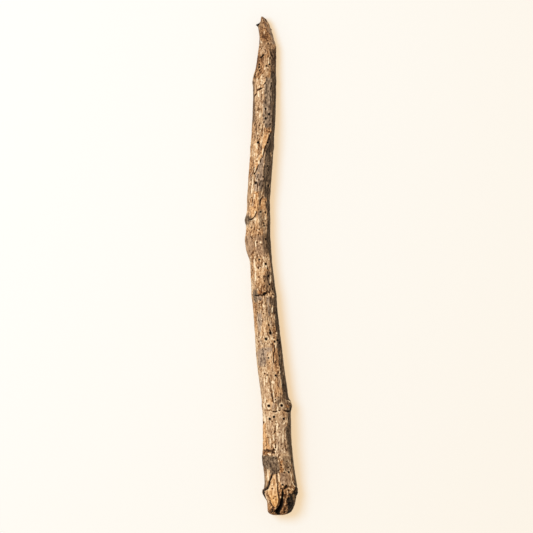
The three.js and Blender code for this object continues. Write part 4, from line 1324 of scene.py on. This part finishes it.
def carve_bark(skin):
    """Gives all bark its relief, its tone and its orange places."""
    grey = np.maximum(skin.marks["grey"], skin.marks["ash"])
    worn_rise, worn_tone = worn_bark(skin)
    grey_rise, grey_tone = grey_bark(skin)
    skin.rise += (1 - grey) * worn_rise + grey * grey_rise
    skin.marks["tone"] = (1 - grey) * worn_tone + grey * grey_tone + tone_change(skin)
    orange = ramp(skin.noise("orange"), *COUNTS_BETWEEN["orange"])
    skin.marks["orange"] = ORANGE_STRENGTH * orange * (1 - grey)


def bore_hole(skin, height, bearing, radius, rimmed=False):
    """A hole with soft sides, a dark inside that is painted shade, and a pale lip that is a painted
    highlight. HOLE gives its sizes in radii.
    """
    reach = HOLE["reach"] * radius
    part = skin.window(height - reach, height + reach)
    distance, _ = strip_distance(skin, part, [(height, bearing), (height + HOLE_STRIP, bearing)])
    distance = distance + HOLE["grit"] * radius * skin.grit[part]
    inside = 1 - ramp(distance, radius * HOLE["floor"], radius * HOLE["mouth"])
    skin.rise[part] -= (HOLE["depth"] * radius + HOLE_DEEPER) * inside
    painted_highlight_lip(skin, part, distance - radius * HOLE["lip"])
    # The dark inside the hole is painted shade.
    skin.paint("dark", part, 1 - ramp(distance, radius, radius * HOLE["dark"]))
    if rimmed:
        off_rim = (distance - radius * HOLE["rim"]) / (radius * HOLE["rim width"])
        lay(skin, part, RIM_STRENGTH * np.exp(-off_rim ** 2), "cream")


def bore_holes(skin):
    """Bores the holes that are seen, and more on the underside."""
    for height, x, radius in HOLES:
        bore_hole(skin, height, float(bearing_at(height, x)), radius)
    for height, x, radius in RIMMED_HOLES:
        bore_hole(skin, height, float(bearing_at(height, x)), radius, rimmed=True)
    rng = np.random.default_rng(SEED + STREWN_HOLES["seed"])
    for _ in range(STREWN_HOLES["count"]):
        place = [rng.uniform(*STREWN_HOLES[key]) for key in ("heights", "bearings", "radii")]
        bore_hole(skin, *place)


def raise_spurs(skin):
    """Raises the dark splinters and buds at the edge."""
    for height, bearing, rise, length, breadth in SPURS:
        part = skin.window(height - SPUR_MARGIN, height + SPUR_MARGIN)
        around = np.radians(turn(bearing, skin.bearing[part])) * skin.radius[part]
        reach = np.hypot((skin.height[part] - height) / length, around / breadth)
        skin.rise[part] += rise * np.exp(-reach ** SPUR_POWER)
        skin.paint("dark", part, 1 - ramp(reach, *SPUR_DARK))


# The torn thick end

def bare_end(skin):
    """Ends the bark in a ragged ledge, and bares torn, split wood below it."""
    ledge = np.interp(skin.bearing, LEDGE[:, 0], LEDGE[:, 1])
    ledge = ledge + LEDGE_RAGGED * skin.noise("ledge")
    bare = 1 - ramp(skin.height, ledge - LEDGE_FADE, ledge + LEDGE_FADE)
    splits = ramp(1 - np.abs(skin.noise("splits")), *COUNTS_BETWEEN["splits"])
    layers = {"splits": splits}
    layers.update({name: skin.noise(name) for name in ("fibre", "torn", "torn tone")})
    blend(skin.rise, weighed(TORN_RISE, layers, TORN_DEPTH), bare)
    blend(skin.marks["tone"], weighed(TORN_TONE, layers, TORN_LEVEL), bare)
    for name, value in TORN_MARKS.items():
        blend(skin.marks[name], value, bare)
    below = 1 - ramp(skin.height, *CHARRED_BELOW)
    toward = np.cos(np.radians(skin.bearing - CHARRED_BEARING))
    blend(skin.marks["char"], TORN_CHAR, bare * (below * ramp(toward, *CHARRED_SPREAD)))
    under_lip = bare * (1 - ramp(ledge - skin.height, *LEDGE_SHADE))
    blend(skin.marks["dark"], TORN_DARK, under_lip)


def split_wedge(skin):
    """The long pale wedge of split wood, golden toward its lower point."""
    ragged = WEDGE_RAGGED * skin.noise("wedge edge")
    part, mask = patch_mask(skin, SPLIT_WEDGE, ragged, WEDGE_EDGE)
    layers = {name: skin.noise(name)[part] for name in ("fibre", "wood streaks")}
    blend(skin.rise[part], weighed(WEDGE_RISE, layers, WEDGE_DEPTH), mask)
    blend(skin.marks["tone"][part], weighed(WEDGE_TONE, layers, WEDGE_LEVEL), mask)
    for name in MARKS[1:]:
        blend(skin.marks[name][part], 0, mask)
    blend(skin.marks["wood"][part], 1, mask)
    pale = ramp(skin.height[part], *WEDGE_PALE)
    blend(skin.marks["orange"][part], WEDGE_ORANGE - WEDGE_PALER * pale, mask)


def hollow_cavity(skin):
    """The rotted hollow that opens the torn end from above."""
    part = skin.window(0, CAVITY_TOP)
    height = skin.height[part]
    middle_x, half, depth = (np.interp(height, CAVITY[:, 0], CAVITY[:, k]) for k in (1, 2, 3))
    off = np.abs(skin.x[part] - middle_x) + CAVITY_RAGGED * skin.noise("cavity edge")[part]
    share = np.clip(1 - off / (half * CAVITY_WIDER), 0, 1) ** CAVITY_POWER * skin.upper[part]
    skin.rise[part] -= np.minimum(depth * share, skin.radius[part] - CAVITY_WALL)
    # Darker the deeper it goes: painted shade in the hollow.
    skin.paint("dark", part, ramp(share, *CAVITY_DARK))
    skin.marks["wood"][part] *= 1 - ramp(share, *CAVITY_ROTTEN)


def build_skin():
    """The skin with every layer of bark, wood and damage, each over the last."""
    skin = Skin()
    ragged = RAGGED * skin.noise("ragged") + RAGGED_FINE * skin.noise("ragged, fine")
    lay_grey_bark(skin)
    carve_bark(skin)
    strew_fissures(skin)
    lay_patches(skin, BARK_PATCHES, BARK_RAGGED * ragged, BARK_EDGE)
    bare_end(skin)
    lay_patches(skin, END_PATCHES, END_RAGGED * ragged, END_EDGE)
    split_wedge(skin)
    draw_strokes(skin)
    bore_holes(skin)
    hollow_cavity(skin)
    skin.rise *= 1 - TIP_SMOOTHING * ramp(skin.height, TIP_SMOOTH_FROM, LENGTH)
    raise_spurs(skin)
    return skin


# Meshes

def skin_points(skin):
    """Every place of the grid in space."""
    form = lump_rise(skin.height, skin.bearing, skin.radius) + bark_rise(skin.height, skin.bearing)
    across = np.maximum(skin.across + form + np.maximum(skin.rise, INWARD_LIMIT), THINNEST)
    deep = np.maximum(skin.deep + form + skin.rise, THINNEST)
    x = skin.middle + across * np.cos(skin.angle)
    z = skin.axis + deep * np.sin(skin.angle)
    y = skin.height + torn_inset(skin.bearing) * (1 - ramp(skin.height, 0, INSET_FADE))
    lowered = z * (1 - rest_share(skin.height, x))
    z = np.maximum(np.where(skin.bearing > 180, lowered, z), 0)
    return np.stack([x, y, z], axis=-1)


def torn_face(rim):
    """The torn face's middle, rows of points from there out to the rim, their tone, and how much
    each of them takes on from the rim."""
    middle_x, _, _, _ = section(np.array(0.0))
    middle = np.array([middle_x + FACE_MIDDLE_X, 0.0, FACE_MIDDLE_Z])
    fills = np.linspace(0, 1, FACE_ROWS + 1)[1:-1, None]
    spread = middle + (rim - middle)[None] * fills[..., None]
    x, z = spread[..., 0], spread[..., 2]
    layers = {
        name: Noise(SEED + seed)(x / size + FACE_SHIFT, z / size + FACE_SHIFT, 0 * x + level)
        for name, (seed, size, level) in FACE_NOISES.items()
    }
    inset = np.interp(fills, FACE_INSETS[:, 0], FACE_INSETS[:, 1])
    fade = np.sin(np.pi * fills) ** 0.5
    y = spread[..., 1] * fills + inset + fade * weighed(FACE_RISE, layers)
    tone = weighed(FACE_TONE, layers, FACE_LEVEL)
    near_rim = ramp(fills + FACE_RIM_WAVER * layers["coarse"], *FACE_RIM)
    return middle, np.stack([x, y, z], axis=-1), tone, near_rim


def blurred(ring, reach):
    """A ring of values, each averaged with those up to so many places away."""
    return np.mean([np.roll(ring, step) for step in range(-reach, reach + 1)], axis=0)


def face_marks(skin, tone, near_rim):
    """Marks of the torn face, which carries on the dark and rotten places of its rim."""
    dark_rim, char_rim = (blurred(skin.marks[name][0], reach) for name, reach in RIM_BLUR.items())
    marks = dict.fromkeys(MARKS, np.zeros(tone.shape))
    marks["tone"] = tone
    marks["orange"] = np.full(tone.shape, FACE_ORANGE)
    marks["wood"] = FACE_WOOD * (1 - near_rim)
    marks["dark"] = np.maximum(ramp(FACE_DARK_BELOW - tone, 0, FACE_DARK_FADE), near_rim * dark_rim)
    marks["char"] = np.maximum(FACE_CHAR, near_rim * char_rim)
    return marks


def grid_faces(rows, start):
    """Quads between rows of points, each of which goes around."""
    i = np.arange(rows - 1)[:, None] * COLUMNS + start
    j = np.arange(COLUMNS)[None, :]
    k = (j + 1) % COLUMNS
    return np.stack([i + j, i + j + COLUMNS, i + k + COLUMNS, i + k], axis=-1).reshape(-1, 4)


def fan_faces(centre, ring_start, flip):
    """Triangles from one point to a ring of points."""
    j = np.arange(COLUMNS)
    k = (j + 1) % COLUMNS
    ends = (ring_start + k, ring_start + j) if flip else (ring_start + j, ring_start + k)
    return np.stack([np.full(COLUMNS, centre), *ends], axis=-1)


def mesh_from(name, points, quads, triangles):
    mesh = bpy.data.meshes.new(name)
    mesh.vertices.add(len(points))
    mesh.vertices.foreach_set("co", (points * MM).astype(np.float32).ravel())
    corners = np.concatenate([quads.ravel(), triangles.ravel()]).astype(np.int32)
    quad_starts = np.arange(len(quads)) * 4
    triangle_starts = len(quads) * 4 + np.arange(len(triangles)) * 3
    starts = np.concatenate([quad_starts, triangle_starts]).astype(np.int32)
    mesh.loops.add(len(corners))
    mesh.loops.foreach_set("vertex_index", corners)
    mesh.polygons.add(len(starts))
    mesh.polygons.foreach_set("loop_start", starts)
    mesh.update(calc_edges=True)
    mesh.validate()
    return mesh


def set_marks(mesh, values):
    """Keeps the marks with the mesh, for its material."""
    for name, amounts in values.items():
        layer = mesh.attributes.new(name, "FLOAT", "POINT")
        layer.data.foreach_set("value", np.clip(amounts, 0, 1).astype(np.float32).ravel())


def set_grain(mesh, places):
    """Keeps the grain's coordinates with the mesh."""
    layer = mesh.attributes.new("grain", "FLOAT_VECTOR", "POINT")
    layer.data.foreach_set("vector", places.astype(np.float32).ravel())


def thinned(mesh, triangles):
    """The mesh with flat stretches joined into fewer triangles."""
    obj = bpy.data.objects.new("thinning", mesh)
    bpy.context.scene.collection.objects.link(obj)
    full = sum(len(p.vertices) - 2 for p in mesh.polygons)
    thin = obj.modifiers.new("thin", "DECIMATE")
    thin.ratio = min(1.0, triangles / full)
    thin.use_collapse_triangulate = True
    graph = bpy.context.evaluated_depsgraph_get()
    result = bpy.data.meshes.new_from_object(obj.evaluated_get(graph))
    bpy.data.objects.remove(obj)
    return result


def place_in_frame(points):
    """Moves the form so that its middle stands where the CAD stick's does."""
    low, high = CAD_BOX
    middle_x = (points[:, 0].min() + points[:, 0].max()) / 2
    shift = np.array([(low[0] + high[0]) / 2 / MM - middle_x, -LENGTH / 2, 0])
    return points + shift, shift


def joined(middle, face, body, tip):
    """One list: the face's middle, the face, the body without its last row, and the tip."""
    width = body.shape[2:]
    return np.concatenate([
        np.reshape(middle, (1, *width)), face.reshape(-1, *width), body[:-1].reshape(-1, *width),
        np.reshape(tip, (1, *width)),
    ])


def stick_mesh():
    skin = build_skin()
    body = skin_points(skin)
    middle, face, face_tone, near_rim = torn_face(body[0])
    points = joined(middle + np.array([0, FACE_DEPTH, 0]), face, body, TIP)
    points, shift = place_in_frame(points)
    last = len(points) - 1
    fans = [fan_faces(0, 1, False), fan_faces(last, last - COLUMNS, True)]
    rows = len(face) + len(body) - 1
    mesh = mesh_from("stick_skin", points, grid_faces(rows, 1), np.concatenate(fans))
    on_face = face_marks(skin, face_tone, near_rim)
    set_marks(mesh, {
        name: joined(MIDDLE_MARK, on_face[name], skin.marks[name], TIP_MARK) for name in MARKS
    })
    grain = np.stack(skin.grain, axis=-1)
    set_grain(mesh, joined([0, 0, 0], face[..., [0, 2, 1]], grain, grain[-1, 0]))
    return thinned(mesh, SKIN_TRIANGLES), shift


# Materials

def srgb(*values):
    """A linear colour from values of 0 to 255."""
    linear = [((v / 255 + 0.055) / 1.055) ** 2.4 if v > 10 else v / 255 / 12.92 for v in values]
    return (*linear, 1.0)


class Nodes:
    """Short calls for making a material's nodes."""

    def __init__(self, name):
        self.material = bpy.data.materials.new(name)
        self.material.use_nodes = True
        self.tree = self.material.node_tree
        self.shader = self.tree.nodes["Principled BSDF"]

    def node(self, kind, **settings):
        node = self.tree.nodes.new(kind)
        for key, value in settings.items():
            setattr(node, key, value)
        return node

    def link(self, source, target):
        self.tree.links.new(source, target)

    def set_inputs(self, node, values):
        for name, value in values.items():
            node.inputs[name].default_value = value

    def mark(self, name):
        return self.node("ShaderNodeAttribute", attribute_name=name).outputs["Fac"]

    def math(self, operation, first, second, clamp=False):
        node = self.node("ShaderNodeMath", operation=operation, use_clamp=clamp)
        for socket, value in zip(node.inputs, (first, second)):
            if isinstance(value, (int, float)):
                socket.default_value = value
            else:
                self.link(value, socket)
        return node.outputs[0]

    def add(self, first, second):
        return self.math("ADD", first, second)

    def swing(self, value, amount):
        """A value of 0 to 1 turned into a change of up to half the amount either way."""
        return self.math("MULTIPLY", self.math("SUBTRACT", value, 0.5), amount)

    def squeezed(self, vector, along):
        """The grain's coordinates with everything longer along the stick."""
        node = self.node("ShaderNodeMapping")
        self.set_inputs(node, {"Scale": (1.0, 1.0, along)})
        self.link(vector, node.inputs["Vector"])
        return node.outputs["Vector"]

    def noise(self, vector, scale):
        node = self.node("ShaderNodeTexNoise")
        self.set_inputs(node, {"Scale": scale, **FINE_NOISE})
        self.link(vector, node.inputs["Vector"])
        return node.outputs["Fac"]

    def cells(self, vector, scale):
        """A random value in each of many small cells."""
        node = self.node("ShaderNodeTexVoronoi")
        self.set_inputs(node, {"Scale": scale})
        self.link(vector, node.inputs["Vector"])
        split = self.node("ShaderNodeSeparateColor")
        self.link(node.outputs["Color"], split.inputs["Color"])
        return split.outputs["Red"]

    def ramp(self, value, stops):
        """A colour by the value, from stops that each have a place and an sRGB colour."""
        node = self.node("ShaderNodeValToRGB")
        elements = node.color_ramp.elements
        while len(elements) < len(stops):
            elements.new(0.5)
        for element, (place, *colour) in zip(elements, stops):
            element.position = place
            element.color = srgb(*colour)
        self.link(value, node.inputs["Fac"])
        return node.outputs["Color"]

    def mix(self, amount, first, second):
        node = self.node("ShaderNodeMix", data_type="RGBA")
        self.link(amount, node.inputs["Factor"])
        for name, value in (("A", first), ("B", second)):
            socket = next(s for s in node.inputs if s.name == name and s.type == "RGBA")
            if isinstance(value, tuple):
                socket.default_value = value
            else:
                self.link(value, socket)
        return next(s for s in node.outputs if s.type == "RGBA")


def bark_tone(n, fibres, specks, chips):
    """The tone mark with the finest grain added, less of it where other marks are quiet."""
    uneven = n.add(
        n.add(n.swing(fibres, FIBRE_SWING), n.swing(specks, SPECK_SWING)),
        n.swing(chips, CHIP_SWING),
    )
    quiet = 0.0
    for name, share in QUIET_MARKS.items():
        quiet = n.add(quiet, n.math("MULTIPLY", n.mark(name), share))
    loud = n.math("SUBTRACT", 1.0, quiet, clamp=True)
    return n.math("ADD", n.mark("tone"), n.math("MULTIPLY", uneven, loud), clamp=True)


def bark_colour(n, tone):
    """Each kind of bark or wood in its own colours, laid over one another by the marks, and on top
    the dark mark, which is mostly painted shade.
    """
    colours = {name: n.ramp(tone, stops) for name, stops in BARK_COLOURS.items()}
    colours["wood"] = n.mix(n.mark("orange"), colours["wood"], colours["golden"])
    colour = colours["worn"]
    for name in ("orange", "ash", "grey", "wood", "char"):
        colour = n.mix(n.mark(name), colour, colours[name])
    return n.mix(n.mark("dark"), colour, srgb(*SHADE_AND_DARK_COLOUR))


def bark_material():
    """Bark and wood in one material, with fine grain on top."""
    n = Nodes("dry_bark")
    grain = n.node("ShaderNodeAttribute", attribute_name="grain").outputs["Vector"]
    chip_grain = n.squeezed(grain, CHIP_SQUEEZE)
    fibres = n.noise(n.squeezed(grain, FIBRE_SQUEEZE), FIBRE_SCALE)
    specks = n.noise(chip_grain, CHIP_SCALE)
    tone = bark_tone(n, fibres, specks, n.cells(chip_grain, CHIP_SCALE))
    n.link(bark_colour(n, tone), n.shader.inputs["Base Color"])
    n.set_inputs(n.shader, BARK_SHEEN)
    bump = n.node("ShaderNodeBump")
    n.set_inputs(bump, BARK_BUMP)
    n.link(n.add(fibres, specks), bump.inputs["Height"])
    n.link(bump.outputs["Normal"], n.shader.inputs["Normal"])
    return n.material


def floor_material():
    """Pale paper that is lit a little from below, so that shadows on it stay light and warm."""
    n = Nodes("pale_floor")
    n.set_inputs(n.shader, FLOOR_LOOK)
    return n.material


# The scene

def new_object(name, data):
    obj = bpy.data.objects.new(name, data)
    bpy.context.scene.collection.objects.link(obj)
    return obj


def add_stick():
    mesh, shift = stick_mesh()
    mesh.materials.append(bark_material())
    for polygon in mesh.polygons:
        polygon.use_smooth = True
    stick = new_object("stick_skin", mesh)
    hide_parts("stick")
    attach(stick, "root")
    return shift


def add_camera(shift_x):
    """A camera straight above, which frames the stick as the photograph does."""
    camera = bpy.data.cameras.new("camera")
    camera.sensor_width = SENSOR
    camera.lens = CAMERA_DISTANCE * SENSOR / (PHOTO_SIDE * PIXEL * MM)
    obj = new_object("camera", camera)
    middle = PHOTO_SIDE / 2
    obj.location = (
        ((middle - PIXEL_OF_X0) * PIXEL + shift_x) * MM,
        ((PIXEL_OF_END - middle) * PIXEL - LENGTH / 2) * MM,
        CAMERA_DISTANCE + CAMERA_FOCUS_HEIGHT,
    )
    bpy.context.scene.camera = obj


def add_floor():
    mesh = bpy.data.meshes.new("floor")
    side = FLOOR_HALF_SIDE
    corners = [(-side, -side, 0), (side, -side, 0), (side, side, 0), (-side, side, 0)]
    mesh.from_pydata(corners, [], [(0, 1, 2, 3)])
    mesh.materials.append(floor_material())
    new_object("floor", mesh)


def add_key_light():
    """The one lamp, from the upper left, which throws the shadow to the right."""
    light = bpy.data.lights.new("key_light", "AREA")
    light.shape = "DISK"
    light.size = LIGHT_SIZE
    light.energy = LIGHT_POWER
    light.color = LIGHT_COLOUR
    obj = new_object("key_light", light)
    obj.location = LIGHT_PLACE
    toward_stick = -Vector(LIGHT_PLACE)
    obj.rotation_euler = toward_stick.to_track_quat("-Z", "Y").to_euler()


def add_surroundings():
    world = bpy.data.worlds.new("studio")
    world.use_nodes = True
    background = world.node_tree.nodes["Background"]
    background.inputs["Color"].default_value = (*SURROUNDINGS_COLOUR, 1)
    background.inputs["Strength"].default_value = SURROUNDINGS_STRENGTH
    bpy.context.scene.world = world


shift = add_stick()
add_camera(shift[0])
add_floor()
add_key_light()
add_surroundings()
bpy.context.scene.view_settings.view_transform = "Standard"
